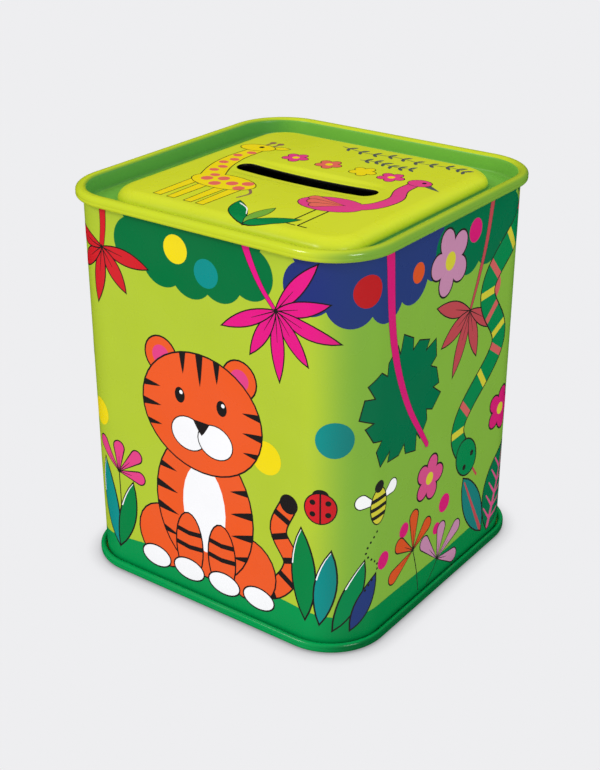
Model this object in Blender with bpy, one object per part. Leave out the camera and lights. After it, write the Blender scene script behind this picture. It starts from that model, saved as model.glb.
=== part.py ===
"""Square tin money box: a seamed tinplate can with a coin slot on top and a pull-out stopper below.

The box stands on the floor at z = 0, centred on the Z axis, with its front towards -Y. Three pressed
sheets make the can: a wall wrapped to a rounded square, a top end and a base end. Each end is joined
to the wall by a double seam, in which a hook at the end's edge holds a hook at the wall's edge. A
moulded stopper with a lift tab closes the hole in the base end.
"""

import math

import bmesh
import bpy
from mathutils import Matrix, Vector

MM = 0.001

# The can, in millimetres.
WIDTH = 85.0  # across the seams, both ways
HEIGHT = 99.0
SHEET = 0.30  # tinplate
GAP = 0.28  # clearance between two layers of sheet
WALL_CORNER_R = 13.25  # outer corner radius of the wall
SEAM_HEIGHT = 2.5

# The double seam: each layer's middle is one sheet and one gap further out than the last.
PITCH = SHEET + GAP
WALL_HALF = WIDTH / 2 - 3 * PITCH  # outer face of the wall
WALL_MID = WALL_HALF - SHEET / 2
CHUCK_MID = WALL_MID - PITCH  # the end's own upright, inside the wall
COVER_HOOK_MID = WALL_MID + PITCH
BODY_HOOK_MID = WALL_MID + 2 * PITCH
CREST_FLAT = 0.4  # narrow flat along the crest, which the can stands on
BEAD_R = 2 * PITCH - CREST_FLAT / 2  # middle of the end's sheet, at each side of the flat
FLANGE_R = PITCH - CREST_FLAT / 2  # middle of the wall's sheet, beneath it
FOLD_R = PITCH  # middle of the end's sheet where it turns under the wall's hook
CREST_DROP = SHEET / 2 + BEAD_R  # from the can's edge to the centres of the crest's arcs
FOLD_DROP = SEAM_HEIGHT - SHEET / 2 - FOLD_R  # from the can's edge to the centre of the fold
HOOK_TIP_CLEARANCE = 0.04

# Top end.
RECESS_DEPTH = 4.4  # rim to channel floor
CHUCK_FILLET = 0.9
PANEL_DROP = 1.0  # rim to raised panel
PANEL_HALF = 30.2  # flat part of the raised panel
PANEL_CORNER_R = 5.5
SHOULDER_WIDTH = 3.3
SHOULDER_DROP = 2.65
SHOULDER_FOOT_R = RECESS_DEPTH - PANEL_DROP - SHOULDER_DROP
SLOT_LENGTH = 39.6
SLOT_WIDTH = 5.5
SLOT_CORNER_R = 2.6
SLOT_LIP_R = 0.3  # the slot's edge is turned down
SLOT_LIP_DEPTH = 0.6
DISH_DEPTH = 0.65  # shallow dish round the slot, at its middle
DISH_FADE = 0.9  # share of that depth that is gone at the slot's ends
DISH_FLAT = 1.2
DISH_SLOPE = 2.4

# Base end.
BASE_RECESS = 4.6
HOLE_R = 17.5
HOLE_LIP_R = 0.55
HOLE_LIP_HEIGHT = 1.1
RING_R = 26.0  # stiffening ring pressed into the base
RING_RISE = 0.6
RING_SLOPE = 1.6
ROUND_FLAT = 0.1

# Lock seam of the wall, up the middle of the back.
LOCK_SEAM_WIDTH = 3.2
LOCK_SEAM_DEPTH = 0.75  # how far its four layers stand inwards
LOCK_SEAM_EDGE = 0.25
LOCK_GROOVE_DEPTH = 0.12
LOCK_GROOVE_WIDTH = 0.3
LOCK_SEAM_END = 4.5  # the seam is a plain lap this close to the can's edges

# Stopper.
STOPPER_GAP = 0.3
STOPPER_R = 21.0  # its flange
STOPPER_THICK = 1.5
STOPPER_EDGE_R = 0.5
SNAP_R = HOLE_R - STOPPER_GAP  # bead that snaps past the hole's lip
SNAP_LOW = 2.9  # heights above the top of the flange
SNAP_HIGH = 3.7
SNAP_SLOPE = 0.6
SNAP_STAND = 0.5  # how far the bead stands out from the skirt
SKIRT_HEIGHT = 5.4
SKIRT_THICK = 1.2
SKIRT_TAPER = 0.3
WEB_RISE = 1.7  # underside of the web above the top of the flange
WEB_THICK = 1.2
POCKET_R = 14.2  # round pocket that the lift tab lies in
LAND_R = 15.0  # the hinge's land, which is rooted in the pocket's wall
LAND_SET_BACK = 0.3  # from the stopper's face
LAND_ROOT = 0.6  # how far the land runs into the web

# Lift tab.
TAB_THICK = 1.4
TAB_HALF_WIDTH = 7.5
TAB_TIP_X = 12.0
TAB_HINGE_X = -7.4
TAB_HINGE_GAP = 0.3
TAB_SET_BACK = 0.6  # from the stopper's face
TAB_CHAMFER = 0.25
RIB_COUNT = 3  # grip ribs across the tab, near its tip
RIB_FIRST_X = 3.6
RIB_PITCH = 2.4
RIB_WIDTH = 1.0
RIB_HALF_LENGTH = 4.2
RIB_STAND = 0.4
RIB_ROOT = 0.5

# Number of straight steps in each curve.
CORNER_STEPS = 8
ROUND_STEPS = 10  # in each quarter of a turned shape
BEND_STEPS = 4  # in a quarter bend of sheet
SMALL_BEND_STEPS = 3
SLOPE_STEPS = 4
TIP_STEPS = 12
SIDE_STEPS = 6  # along each side of the top end that lies along the slot
SHARP_DEG = 35


def arc(centre, radius, start, end, steps, radius_2=None):
    """Points of an arc from angle start to angle end, in degrees. radius_2 makes it elliptical."""
    angles = [math.radians(start + (end - start) * i / steps) for i in range(steps + 1)]
    up = radius_2 or radius
    return [(centre[0] + radius * math.cos(a), centre[1] + up * math.sin(a)) for a in angles]


def level(points, z):
    """The same points in space, at height z."""
    return [Vector((x, y, z)) for x, y in points]


def rounded_rectangle(half_x, half_y, radius, z):
    """A loop round a rounded rectangle at height z, anticlockwise from the upper end of its +X side."""
    points = []
    for quarter, (side_x, side_y) in enumerate(((1, 1), (-1, 1), (-1, -1), (1, -1))):
        centre = (side_x * (half_x - radius), side_y * (half_y - radius))
        points += arc(centre, radius, 90 * quarter, 90 * quarter + 90, CORNER_STEPS)
    return level(points, z)


def circle(radius, z):
    """A loop round the Z axis at height z."""
    count = 4 * ROUND_STEPS
    return level(arc((0, 0), radius, 0, 360, count)[:count], z)


def both_sides(middle):
    """A sheet's closed outline from its middle line: the left side forwards, then the right side back."""
    points = [Vector(p) for p in middle]
    steps = [(after - before).normalized() for before, after in zip(points, points[1:])]
    left, right = [], []
    for point, into, out_of in zip(points, [steps[0], *steps], [*steps, steps[-1]]):
        along = (into + out_of).normalized()
        reach = SHEET / 2 / along.dot(into)
        normal = Vector((-along.y, along.x)) * reach
        left.append(point + normal)
        right.append(point - normal)
    return left + right[::-1]


def put_in_scene(name, bm):
    mesh = bpy.data.meshes.new(name)
    bm.to_mesh(mesh)
    bm.free()
    obj = bpy.data.objects.new(name, mesh)
    bpy.context.scene.collection.objects.link(obj)
    return obj


def skin(name, loops, closed):
    """An object skinned over the loops. closed joins the last loop to the first; if not, both are filled."""
    bm = bmesh.new()
    rows = [[bm.verts.new(point * MM) for point in loop] for loop in loops]
    pairs = list(zip(rows, rows[1:]))
    if closed:
        pairs.append((rows[-1], rows[0]))
    else:
        bm.faces.new(rows[0])
        bm.faces.new(rows[-1])
    for low, high in pairs:
        for i, j in zip(range(len(low)), [*range(1, len(low)), 0]):
            bm.faces.new((low[i], low[j], high[j], high[i]))
    bmesh.ops.recalc_face_normals(bm, faces=bm.faces)
    return put_in_scene(name, bm)


def join_to(obj, extra):
    """Makes the extra shape one solid with obj, and hides the extra."""
    modifier = obj.modifiers.new("join_" + extra.name, "BOOLEAN")
    modifier.operation = "UNION"
    modifier.object = extra
    extra.hide_render = True
    extra.display_type = "WIRE"


def finish(obj, material):
    """Gives the piece its material and shades its curves smooth."""
    obj.data.materials.append(material)
    obj.data.shade_smooth()
    obj.data.set_sharp_from_angle(angle=math.radians(SHARP_DEG))


def make_material(name, colour, roughness):
    material = bpy.data.materials.new(name)
    material.use_nodes = True
    shader = material.node_tree.nodes["Principled BSDF"]
    shader.inputs["Base Color"].default_value = (*colour, 1.0)
    shader.inputs["Roughness"].default_value = roughness
    shader.inputs["Metallic"].default_value = 0.0
    return material


def crest(radius, steps):
    """Middle line of a sheet over a seam's crest: (distance from the can's axis, height from its edge)."""
    inner = (COVER_HOOK_MID - CREST_FLAT / 2, -CREST_DROP)
    outer = (COVER_HOOK_MID + CREST_FLAT / 2, -CREST_DROP)
    return [*arc(inner, radius, 180, 90, steps), *arc(outer, radius, 90, 0, steps)]


def end_edge():
    """The edge of an end, in the same terms: over the crest, down the outside and up again as a hook."""
    fold = (BODY_HOOK_MID, -FOLD_DROP)
    hook_tip = (COVER_HOOK_MID, -CREST_DROP - HOOK_TIP_CLEARANCE)
    return [*crest(BEAD_R, BEND_STEPS), *arc(fold, FOLD_R, 0, -180, 2 * SMALL_BEND_STEPS), hook_tip]


def wall_edge():
    """The edge of the wall, in the same terms: over the crest and down as a hook inside the end's."""
    hook_tip = (BODY_HOOK_MID, -FOLD_DROP + HOOK_TIP_CLEARANCE)
    return [*crest(FLANGE_R, SMALL_BEND_STEPS), hook_tip]


def end_corner_radius(half, inner_half, inner_radius):
    """Corner radius of an end's loop of this half width, blended from inner_radius to the seam's."""
    seam_half = CHUCK_MID - CHUCK_FILLET
    if half >= seam_half:
        return WALL_CORNER_R - (WALL_HALF - half)
    seam_radius = WALL_CORNER_R - (WALL_HALF - seam_half)
    share = max(0.0, (half - inner_half) / (seam_half - inner_half))
    return inner_radius + (seam_radius - inner_radius) * share


def slot_edge():
    """Middle line from the slot's turned-down lip up its dish: (distance out of the slot, height)."""
    dish_mid = -PANEL_DROP - DISH_DEPTH - SHEET / 2
    lip_centre = (SHEET / 2 + SLOT_LIP_R, dish_mid - SLOT_LIP_R)
    lip = [(SHEET / 2, dish_mid - SLOT_LIP_DEPTH)]
    lip += arc(lip_centre, SLOT_LIP_R, 180, 90, SMALL_BEND_STEPS)
    slope = []
    for step in range(SLOPE_STEPS + 1):
        share = step / SLOPE_STEPS
        rise = DISH_DEPTH * (1 - math.cos(math.pi * share)) / 2
        slope.append((lip_centre[0] + DISH_FLAT + DISH_SLOPE * share, dish_mid + rise))
    return lip + slope


def with_side_points(loop):
    """The same rounded rectangle with more points along its two sides that run along X."""
    count = CORNER_STEPS + 1
    points = []
    for quarter in range(4):
        points += loop[quarter * count : (quarter + 1) * count]
        if quarter % 2 == 0:
            start, end = points[-1], loop[(quarter + 1) * count]
            points += [start.lerp(end, i / SIDE_STEPS) for i in range(1, SIDE_STEPS)]
    return points


def dish_lift(x, out):
    """How much shallower the dish is at x along the slot and out away from it than at its middle."""
    slope_start = SHEET / 2 + SLOT_LIP_R + DISH_FLAT
    slope_share = min(max((out - slope_start) / DISH_SLOPE, 0), 1)
    depth_here = DISH_DEPTH * (1 + math.cos(math.pi * slope_share)) / 2
    return depth_here * DISH_FADE * min(abs(x) / (SLOT_LENGTH / 2), 1) ** 2


def panel_edge():
    """Middle line from the raised panel's edge down its shoulder, along the channel and into the upright."""
    shoulder_z = -PANEL_DROP - SHEET / 2 - SHOULDER_DROP
    shoulder = arc((PANEL_HALF, shoulder_z), SHOULDER_WIDTH, 90, 0, 2 * SMALL_BEND_STEPS, SHOULDER_DROP)
    foot_centre = (PANEL_HALF + SHOULDER_WIDTH + SHOULDER_FOOT_R, shoulder_z)
    foot = arc(foot_centre, SHOULDER_FOOT_R, 180, 270, SMALL_BEND_STEPS)[1:]
    turn_centre = (CHUCK_MID - CHUCK_FILLET, -RECESS_DEPTH - SHEET / 2 + CHUCK_FILLET)
    return shoulder + foot + arc(turn_centre, CHUCK_FILLET, 270, 360, BEND_STEPS)


def make_top_end(lacquer):
    """The pressed top end: slot, dish, raised panel, channel and seam."""
    # The slot's part of the line is measured out of the slot and the rest from the can's axis. Both are
    # outlined together, with the slot's part moved inwards so that the two can be told apart afterwards.
    shift = WIDTH
    middle = [(out - shift, z) for out, z in slot_edge()] + panel_edge() + end_edge()
    loops = []
    for x, z in both_sides(middle):
        if x < 0:
            out = x + shift
            half_x, half_y, radius = SLOT_LENGTH / 2 + out, SLOT_WIDTH / 2 + out, SLOT_CORNER_R + out
        else:
            out = math.inf
            half_x, half_y, radius = x, x, end_corner_radius(x, PANEL_HALF, PANEL_CORNER_R)
        loop = with_side_points(rounded_rectangle(half_x, half_y, radius, HEIGHT + z))
        for point in loop:
            point.z += dish_lift(point.x, out)
        loops.append(loop)
    finish(skin("top_end", loops, closed=True), lacquer)


def make_base_end(lacquer):
    """The pressed base end: the stopper's hole, a stiffening ring, a deep recess and the seam."""
    floor_mid = BASE_RECESS + SHEET / 2
    hole_mid = HOLE_R + SHEET / 2
    lip = [(hole_mid, floor_mid + HOLE_LIP_HEIGHT)]
    lip += arc((hole_mid + HOLE_LIP_R, floor_mid + HOLE_LIP_R), HOLE_LIP_R, 180, 270, SMALL_BEND_STEPS)
    ring = []
    for step in range(-SLOPE_STEPS, SLOPE_STEPS + 1):
        share = step / SLOPE_STEPS
        rise = RING_RISE * (1 + math.cos(math.pi * share)) / 2
        ring.append((RING_R + RING_SLOPE * share, floor_mid + rise))
    turn = arc((CHUCK_MID - CHUCK_FILLET, floor_mid - CHUCK_FILLET), CHUCK_FILLET, 90, 0, BEND_STEPS)
    edge = [(x, -z) for x, z in end_edge()]
    round_to = RING_R + RING_SLOPE + SHEET
    loops = []
    for x, z in both_sides(lip + ring + turn + edge):
        # As far out as the ring the loops are circles, but for a narrow flat that keeps their points apart.
        radius = x - ROUND_FLAT if x < round_to else end_corner_radius(x, round_to, round_to)
        loops.append(rounded_rectangle(x, x, radius, z))
    finish(skin("base_end", loops, closed=True), lacquer)


def wall_loop(half, z, inner, locked):
    """One loop round the wall. Where locked, its inner face steps in and its outer face has a groove."""
    edge = LOCK_SEAM_WIDTH / 2
    if inner:
        depth = LOCK_SEAM_DEPTH if locked else 0
        seam = ((edge + LOCK_SEAM_EDGE, 0), (edge, depth), (-edge, depth), (-edge - LOCK_SEAM_EDGE, 0))
    else:
        depth = LOCK_GROOVE_DEPTH if locked else 0
        half_groove = LOCK_GROOVE_WIDTH / 2
        seam = ((edge + half_groove, 0), (edge, depth), (edge - half_groove, 0), (-edge, 0))
    points = rounded_rectangle(half, half, WALL_CORNER_R - (WALL_HALF - half), z)
    first_corner = CORNER_STEPS + 1
    across_back = [Vector((x, half - step_in, z)) for x, step_in in seam]
    return points[:first_corner] + across_back + points[first_corner:]


def make_wall(lacquer):
    """The printed wall, one sheet wrapped round and locked at the back, with a hook along each edge."""
    top = [(x, HEIGHT + z) for x, z in reversed(wall_edge())]
    bottom = [(x, -z) for x, z in wall_edge()]
    low, high = LOCK_SEAM_END, HEIGHT - LOCK_SEAM_END
    lock_ends = [high, high - LOCK_SEAM_EDGE, low + LOCK_SEAM_EDGE, low]
    middle = top + [(WALL_MID, z) for z in lock_ends] + bottom
    loops = []
    for x, z in both_sides(middle):
        locked = low + LOCK_SEAM_EDGE / 2 < z < high - LOCK_SEAM_EDGE / 2
        loops.append(wall_loop(x, z, x < WALL_MID, locked))
    finish(skin("body_wall", loops, closed=True), lacquer)


def make_stopper(plastic):
    """The moulded stopper: a flange, a skirt with a snap bead, a web, and the tab's pocket below the web."""
    flange_top = BASE_RECESS - STOPPER_GAP
    face = flange_top - STOPPER_THICK
    web_low = flange_top + WEB_RISE
    skirt_r = SNAP_R - SNAP_STAND
    profile = [
        (POCKET_R, web_low),
        (POCKET_R, face),
        (STOPPER_R - STOPPER_EDGE_R, face),
        (STOPPER_R, face + STOPPER_EDGE_R),
        (STOPPER_R, flange_top),
        (skirt_r, flange_top),
        (skirt_r, flange_top + SNAP_LOW - SNAP_SLOPE),
        (SNAP_R, flange_top + SNAP_LOW),
        (SNAP_R, flange_top + SNAP_HIGH),
        (skirt_r - SKIRT_TAPER, flange_top + SKIRT_HEIGHT),
        (skirt_r - SKIRT_THICK, flange_top + SKIRT_HEIGHT),
        (skirt_r - SKIRT_THICK, web_low + WEB_THICK),
    ]
    obj = skin("stopper", [circle(radius, z) for radius, z in profile], closed=False)
    land_x = TAB_HINGE_X - TAB_HINGE_GAP
    start = math.degrees(math.acos(land_x / LAND_R))
    outline = arc((0, 0), LAND_R, start, 360 - start, ROUND_STEPS)
    land = [level(outline, face + LAND_SET_BACK), level(outline, web_low + LAND_ROOT)]
    join_to(obj, skin("hinge_land", land, closed=False))
    finish(obj, plastic)


def tab_loop(inset, z):
    """Outline of the lift tab at height z: square at its hinge and round at its tip."""
    half_width = TAB_HALF_WIDTH - inset
    hinge_x = TAB_HINGE_X + inset
    tip = arc((TAB_TIP_X - TAB_HALF_WIDTH, 0), half_width, -90, 90, TIP_STEPS)
    return level([(hinge_x, half_width), (hinge_x, -half_width), *tip], z)


def grip_ribs(plate_z):
    """Short bars across the tab's outer face."""
    bm = bmesh.new()
    low, high = plate_z - RIB_STAND, plate_z + RIB_ROOT
    for i in range(RIB_COUNT):
        bar = bmesh.ops.create_cube(bm, size=MM)["verts"]
        centre = Vector((RIB_FIRST_X + RIB_PITCH * i, 0, (low + high) / 2))
        bmesh.ops.scale(bm, vec=(RIB_WIDTH, 2 * RIB_HALF_LENGTH, high - low), verts=bar)
        bmesh.ops.translate(bm, vec=centre * MM, verts=bar)
    return put_in_scene("grip_ribs", bm)


def make_pull_tab(plastic):
    """The lift tab, a flat tongue with grip ribs, hung at its square edge from the stopper's land."""
    plate_z = BASE_RECESS - STOPPER_GAP - STOPPER_THICK + TAB_SET_BACK
    top_z = plate_z + TAB_THICK
    loops = [
        tab_loop(TAB_CHAMFER, plate_z),
        tab_loop(0, plate_z + TAB_CHAMFER),
        tab_loop(0, top_z - TAB_CHAMFER),
        tab_loop(TAB_CHAMFER, top_z),
    ]
    obj = skin("stopper_pull_tab", loops, closed=False)
    join_to(obj, grip_ribs(plate_z))
    hinge = Vector((TAB_HINGE_X, 0, plate_z)) * MM
    obj.data.transform(Matrix.Translation(-hinge))
    obj.location = hinge
    finish(obj, plastic)


def main():
    for old in list(bpy.data.objects):
        bpy.data.objects.remove(old, do_unlink=True)
    make_wall(make_material("wall_print", (0.46, 0.63, 0.03), 0.30))
    make_top_end(make_material("top_print", (0.62, 0.72, 0.02), 0.30))
    make_base_end(make_material("green_lacquer", (0.0, 0.27, 0.06), 0.32))
    make_stopper(make_material("stopper_plastic", (0.80, 0.80, 0.76), 0.45))
    make_pull_tab(make_material("tab_plastic", (0.78, 0.78, 0.74), 0.42))


main()
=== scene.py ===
"""The looks of a square tin money box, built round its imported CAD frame.

The can's sheet-metal pieces, the stopper and its lift tab are skinned again here with finer curves. The
printed picture is geometry: each ink is one thin film that follows the tin, so its edges stay sharp at
any distance. Every picture is drawn in millimetres, on the wall as (distance round the can, height) and
on the lid as (x, y).
"""

import math

import bmesh
import bpy
import numpy as np
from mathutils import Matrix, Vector
from mathutils.geometry import delaunay_2d_cdt


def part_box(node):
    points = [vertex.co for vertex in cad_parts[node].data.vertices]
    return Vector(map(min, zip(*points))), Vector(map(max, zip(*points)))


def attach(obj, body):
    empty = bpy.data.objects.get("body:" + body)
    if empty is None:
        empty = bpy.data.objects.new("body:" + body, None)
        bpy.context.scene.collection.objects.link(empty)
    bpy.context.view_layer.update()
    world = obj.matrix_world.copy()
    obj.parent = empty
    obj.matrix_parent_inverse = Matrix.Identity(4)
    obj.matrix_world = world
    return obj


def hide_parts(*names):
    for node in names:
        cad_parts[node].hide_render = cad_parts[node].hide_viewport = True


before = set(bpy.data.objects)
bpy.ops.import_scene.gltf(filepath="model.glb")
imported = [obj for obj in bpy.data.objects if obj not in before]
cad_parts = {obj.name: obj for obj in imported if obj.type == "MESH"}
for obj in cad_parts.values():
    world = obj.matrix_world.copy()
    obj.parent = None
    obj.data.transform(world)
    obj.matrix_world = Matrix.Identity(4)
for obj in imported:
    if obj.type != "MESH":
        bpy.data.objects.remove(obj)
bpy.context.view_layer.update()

MM = 0.001

LINE = 0.42  # width of the printed black outlines, in millimetres

# ---- drawing tools -------------------------------------------------------------------------------------


def smooth(points, closed=True, steps=5):
    """Points along a smooth curve that passes through the given ones."""
    p = np.array(points, float)
    if closed:
        p = np.vstack([p[-1:], p, p[:2]])
    else:
        p = np.vstack([2 * p[:1] - p[1:2], p, 2 * p[-1:] - p[-2:-1]])
    curve = []
    for a, b, c, d in zip(p, p[1:], p[2:], p[3:]):
        for t in np.arange(steps) / steps:
            square = (2 * a - 5 * b + 4 * c - d) * t**2 / 2
            cube = (3 * (b - c) + d - a) * t**3 / 2
            curve.append(b + (c - a) * t / 2 + square + cube)
    if not closed:
        curve.append(p[-2])
    return np.array(curve)


def oval(centre, across, up=None, turn=0, count=24):
    """An ellipse with these half-axes, turned anticlockwise by turn degrees."""
    a = np.arange(count) * 2 * math.pi / count
    points = np.c_[across * np.cos(a), (up or across) * np.sin(a)]
    return turned(points, turn) + centre


def turned(points, degrees):
    """The points turned anticlockwise about the origin."""
    c, s = math.cos(math.radians(degrees)), math.sin(math.radians(degrees))
    return np.array(points, float) @ np.array([[c, s], [-s, c]])


def spine(start, end, bend=0, count=9):
    """Points from start to end, bowed to the left of the way by bend, with the unit normals there."""
    start, end = np.array(start, float), np.array(end, float)
    along = end - start
    left = np.array([-along[1], along[0]]) / np.hypot(*along)
    t = np.linspace(0, 1, count)[:, None]
    return start + along * t + left * bend * 4 * t * (1 - t), left, t


def leaf(start, end, width, bend=0, full=1.0):
    """A leaf that is pointed at both ends. full under 1 makes it fuller."""
    middle, left, t = spine(start, end, bend, 11)
    half = width / 2 * np.sin(math.pi * t) ** full * left
    return np.vstack([middle + half, (middle - half)[-2:0:-1]])


def petal(start, end, width):
    """A petal, pointed at its start and round at its end."""
    start, end = np.array(start, float), np.array(end, float)
    along = (end - start) / np.hypot(*(end - start))
    centre = end - along * width / 2
    heading = math.degrees(math.atan2(along[1], along[0]))
    a = np.radians(heading + np.linspace(-100, 100, 12))
    return np.vstack([start, centre + width / 2 * np.c_[np.cos(a), np.sin(a)]])


def spike(start, end, width):
    """A stripe that is wide at its start and pointed at its end."""
    middle, left, t = spine(start, end, 0, 6)
    half = width / 2 * (1 - t) ** 0.8 * left
    return np.vstack([middle + half, (middle - half)[-2::-1]])


def ribbon(points, width, end_width=None):
    """A line of this width through the points, with round ends. It tapers evenly to end_width."""
    p = np.array(points, float)
    way = np.gradient(p, axis=0)
    way /= np.hypot(way[:, 0], way[:, 1])[:, None]
    left = np.c_[-way[:, 1], way[:, 0]]
    half = np.linspace(width, width if end_width is None else end_width, len(p))[:, None] / 2
    cap = half[-1] * way[-1] + p[-1], p[0] - half[0] * way[0]
    return np.vstack([p + left * half, cap[0], (p - left * half)[::-1], cap[1]])


def grown(outline, by):
    """The outline moved outwards by this much."""
    p = np.array(outline, float)
    p = p[np.hypot(*(p - np.roll(p, 1, 0)).T) > 1e-6]
    ahead = np.roll(p, -1, 0) - p
    if np.sum(p[:, 0] * np.roll(p[:, 1], -1) - np.roll(p[:, 0], -1) * p[:, 1]) < 0:
        ahead = -ahead
    out = np.c_[ahead[:, 1], -ahead[:, 0]] / np.hypot(ahead[:, 0], ahead[:, 1])[:, None]
    both = out + np.roll(out, 1, 0)
    both /= np.maximum(np.hypot(both[:, 0], both[:, 1]), 0.6)[:, None] ** 2 / 2
    return p + both * by


class Print:
    """The ink on one surface, in millimetres, as layers of (ink, outline, clip). Later ones cover earlier."""

    def __init__(self):
        self.layers = []

    def fill(self, ink, outline, clip=None):
        self.layers.append((ink, np.array(outline, float), clip))

    def drawn(self, ink, outline, line=LINE, clip=None):
        """A filled shape with a black outline."""
        self.fill("black", grown(outline, line), clip)
        self.fill(ink, outline, clip)

    def line(self, ink, points, width, end_width=None, clip=None):
        self.fill(ink, ribbon(points, width, end_width), clip)
# Each ink: sRGB on the front, then the painted shade of it that surfaces facing +X take.
INKS = {
    "lime": ((182, 205, 50), (126, 174, 58)),
    "top lime": ((214, 223, 40), (214, 223, 40)),
    "deep green": ((1, 118, 62), (0, 108, 68)),
    "grass green": ((0, 154, 79), (0, 128, 65)),
    "leaf green": ((1, 134, 68), (0, 130, 72)),
    "light green": ((120, 178, 60), (120, 178, 60)),
    "navy": ((37, 52, 124), (38, 58, 116)),
    "teal": ((2, 147, 142), (22, 122, 116)),
    "magenta": ((234, 14, 134), (205, 22, 110)),
    "pink": ((232, 66, 136), (206, 76, 130)),
    "lilac": ((205, 140, 190), (190, 132, 165)),
    "pale lilac": ((238, 200, 224), (205, 165, 195)),
    "red": ((215, 28, 38), (182, 26, 30)),
    "dusty red": ((186, 62, 74), (182, 70, 76)),
    "cheek red": ((228, 48, 44), (200, 60, 50)),
    "orange": ((243, 92, 34), (210, 80, 30)),
    "coral": ((236, 110, 92), (200, 92, 88)),
    "yellow": ((247, 223, 8), (202, 196, 50)),
    "white": ((252, 252, 253), (243, 244, 243)),
    "black": ((36, 32, 32), (38, 38, 34)),
    "grey": ((88, 94, 92), (88, 94, 92)),
    "brown": ((150, 110, 90), (150, 110, 90)),
}


# ---- plants --------------------------------------------------------------------------------------------


def blade(art, foot, tip, width, ink, bend=0, shine=True):
    """A tall leaf with a dark outline and a white glint along its edge."""
    shape = leaf(foot, tip, width, bend, 0.8)
    art.drawn(ink, shape)
    if shine:
        edge = shape[6:11]
        art.line("white", edge, 0.35, 0.15, clip=grown(shape, 0.15))


def star_leaf(art, centre, spread, ink, width=3.2):
    """Long leaves spread from one point, each with a thin rib. spread is as in fan()."""
    tips = fan(centre, *spread)
    for tip in tips:
        art.drawn(ink, leaf(centre, tip, width, 0, 0.85), 0.3)
    for tip in tips:
        rib, _, _ = spine(centre, np.array(centre) + 0.45 * (np.array(tip) - centre), 0, 3)
        art.line("black", rib, 0.3, 0.1)


def dots(art, spots, count):
    """Round dots, each (centre, radius, ink)."""
    for centre, radius, ink in spots:
        art.fill(ink, oval(centre, radius, count=count))


def vine(art, points, ink, width, end_width=None, outline=0.0):
    """A stem along a smooth curve, with a thin dark edge if outline is given."""
    path = smooth(points, closed=False)
    if outline:
        art.line("black", path, width + outline, (end_width or width) + outline)
    art.line(ink, path, width, end_width)


def posy(art, heart, spread, ink, width, foot):
    """A flower of separate petals fanned out at the top of a thin stem."""
    bow = ((heart[0] + foot[0]) / 2 + 0.4, (heart[1] + foot[1]) / 2)
    art.line("black", smooth([foot, bow, heart], False), 0.3)
    for tip in fan(heart, *spread):
        art.drawn(ink, petal(heart, tip, width), 0.34)
        vein, _, _ = spine(heart, np.array(heart) + 0.5 * (np.array(tip) - heart), 0, 3)
        art.line("black", vein, 0.3, 0.1)


def daisy(art, centre, radius, ink, turn=0, line=0.46):
    """A round flower with five petals and a plain heart."""
    rim = []
    for i in range(5):
        heading = turn + 72 * i
        middle = turned([(radius * 0.6, 0)], heading)[0] + centre
        rim.append(oval(middle, radius * 0.4, radius * 0.36, heading))
    for outline in rim:
        art.fill("black", grown(outline, line))
    for outline in rim:
        art.fill(ink, outline)
    art.fill(ink, oval(centre, radius * 0.5))
    art.fill("yellow", oval(centre, radius * 0.27))


CANOPY_EDGE = 91.5  # height of the lobes' centres at each end of a tree
CANOPY_DROP = 5.0  # how much lower they hang in its middle
LOBE_R = 6.2
LOBE_PITCH = 9


def canopy(art, ink, low, high):
    """Hanging foliage from low to high along the wall, as even round lobes that hang lowest in the middle."""
    count = max(3, round((high - low) / LOBE_PITCH))
    art.fill(ink, oval(((low + high) / 2, 99), (high - low) / 2, 10, count=36))
    for t in (np.arange(count) + 0.5) / count:
        place = (low + (high - low) * t, CANOPY_EDGE - CANOPY_DROP * math.sin(math.pi * t))
        art.fill(ink, oval(place, LOBE_R, count=36))


def fan(centre, radius, first, last, count):
    """Tips at even turns round the centre, from first to last degrees, long and short in turn."""
    tips = []
    for i, angle in enumerate(np.radians(np.linspace(first, last, count))):
        reach = radius * (1.0, 0.84)[i % 2]
        tips.append((centre[0] + reach * math.cos(angle), centre[1] + reach * math.sin(angle)))
    return tips


def torn_leaf(art, ink, centre, spread):
    """A broad leaf with a notch cut in its edge between each two tips."""
    tips = fan(centre, *spread)
    centre = np.array(centre)
    edge = []
    for before, after in zip(tips, tips[1:] + tips[:1]):
        before, after = np.array(before), np.array(after)
        edge += [before, before * 0.42 + after * 0.58, centre + ((before + after * 2) / 3 - centre) * 0.8]
    art.drawn(ink, np.array(edge), 0.3)


def meadow(art, ink, low, high_points):
    """The ground, up to a gentle edge through these points."""
    top = smooth(high_points, closed=False)
    art.fill(ink, np.vstack([top, [(high_points[-1][0], low), (high_points[0][0], low)]]))


def veined_leaf(art, foot, tip, width, ink, rib, side_ribs=0):
    """A broad leaf with a coloured rib and, if asked, pairs of side ribs."""
    shape = leaf(foot, tip, width, 0, 0.75)
    art.drawn(ink, shape)
    foot, tip = np.array(foot, float), np.array(tip, float)
    along = (tip - foot) / np.hypot(*(tip - foot))
    left = np.array([-along[1], along[0]])
    length = np.hypot(*(tip - foot))
    art.line(rib, [foot, (foot + tip) / 2, tip - along * 1.5], 1.3, 0.5, clip=shape)
    for i in range(side_ribs):
        at = foot + along * length * (0.12 + 0.72 * i / side_ribs)
        for side in (-1, 1):
            end = at + along * length * 0.13 + side * left * width * 0.34
            art.line(rib, [at, (at + end) / 2, end], 0.8, 0.4, clip=shape)


# ---- animals -------------------------------------------------------------------------------------------


def eye(art, centre, radius):
    """A round white eye with a glint in its pupil."""
    art.drawn("white", oval(centre, radius, radius * 1.12), 0.22)
    art.fill("black", oval(centre, radius * 0.52, radius * 0.6))
    glint = np.array(centre) + (radius * 0.18, radius * 0.25)
    art.fill("white", oval(glint, radius * 0.15))


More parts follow.
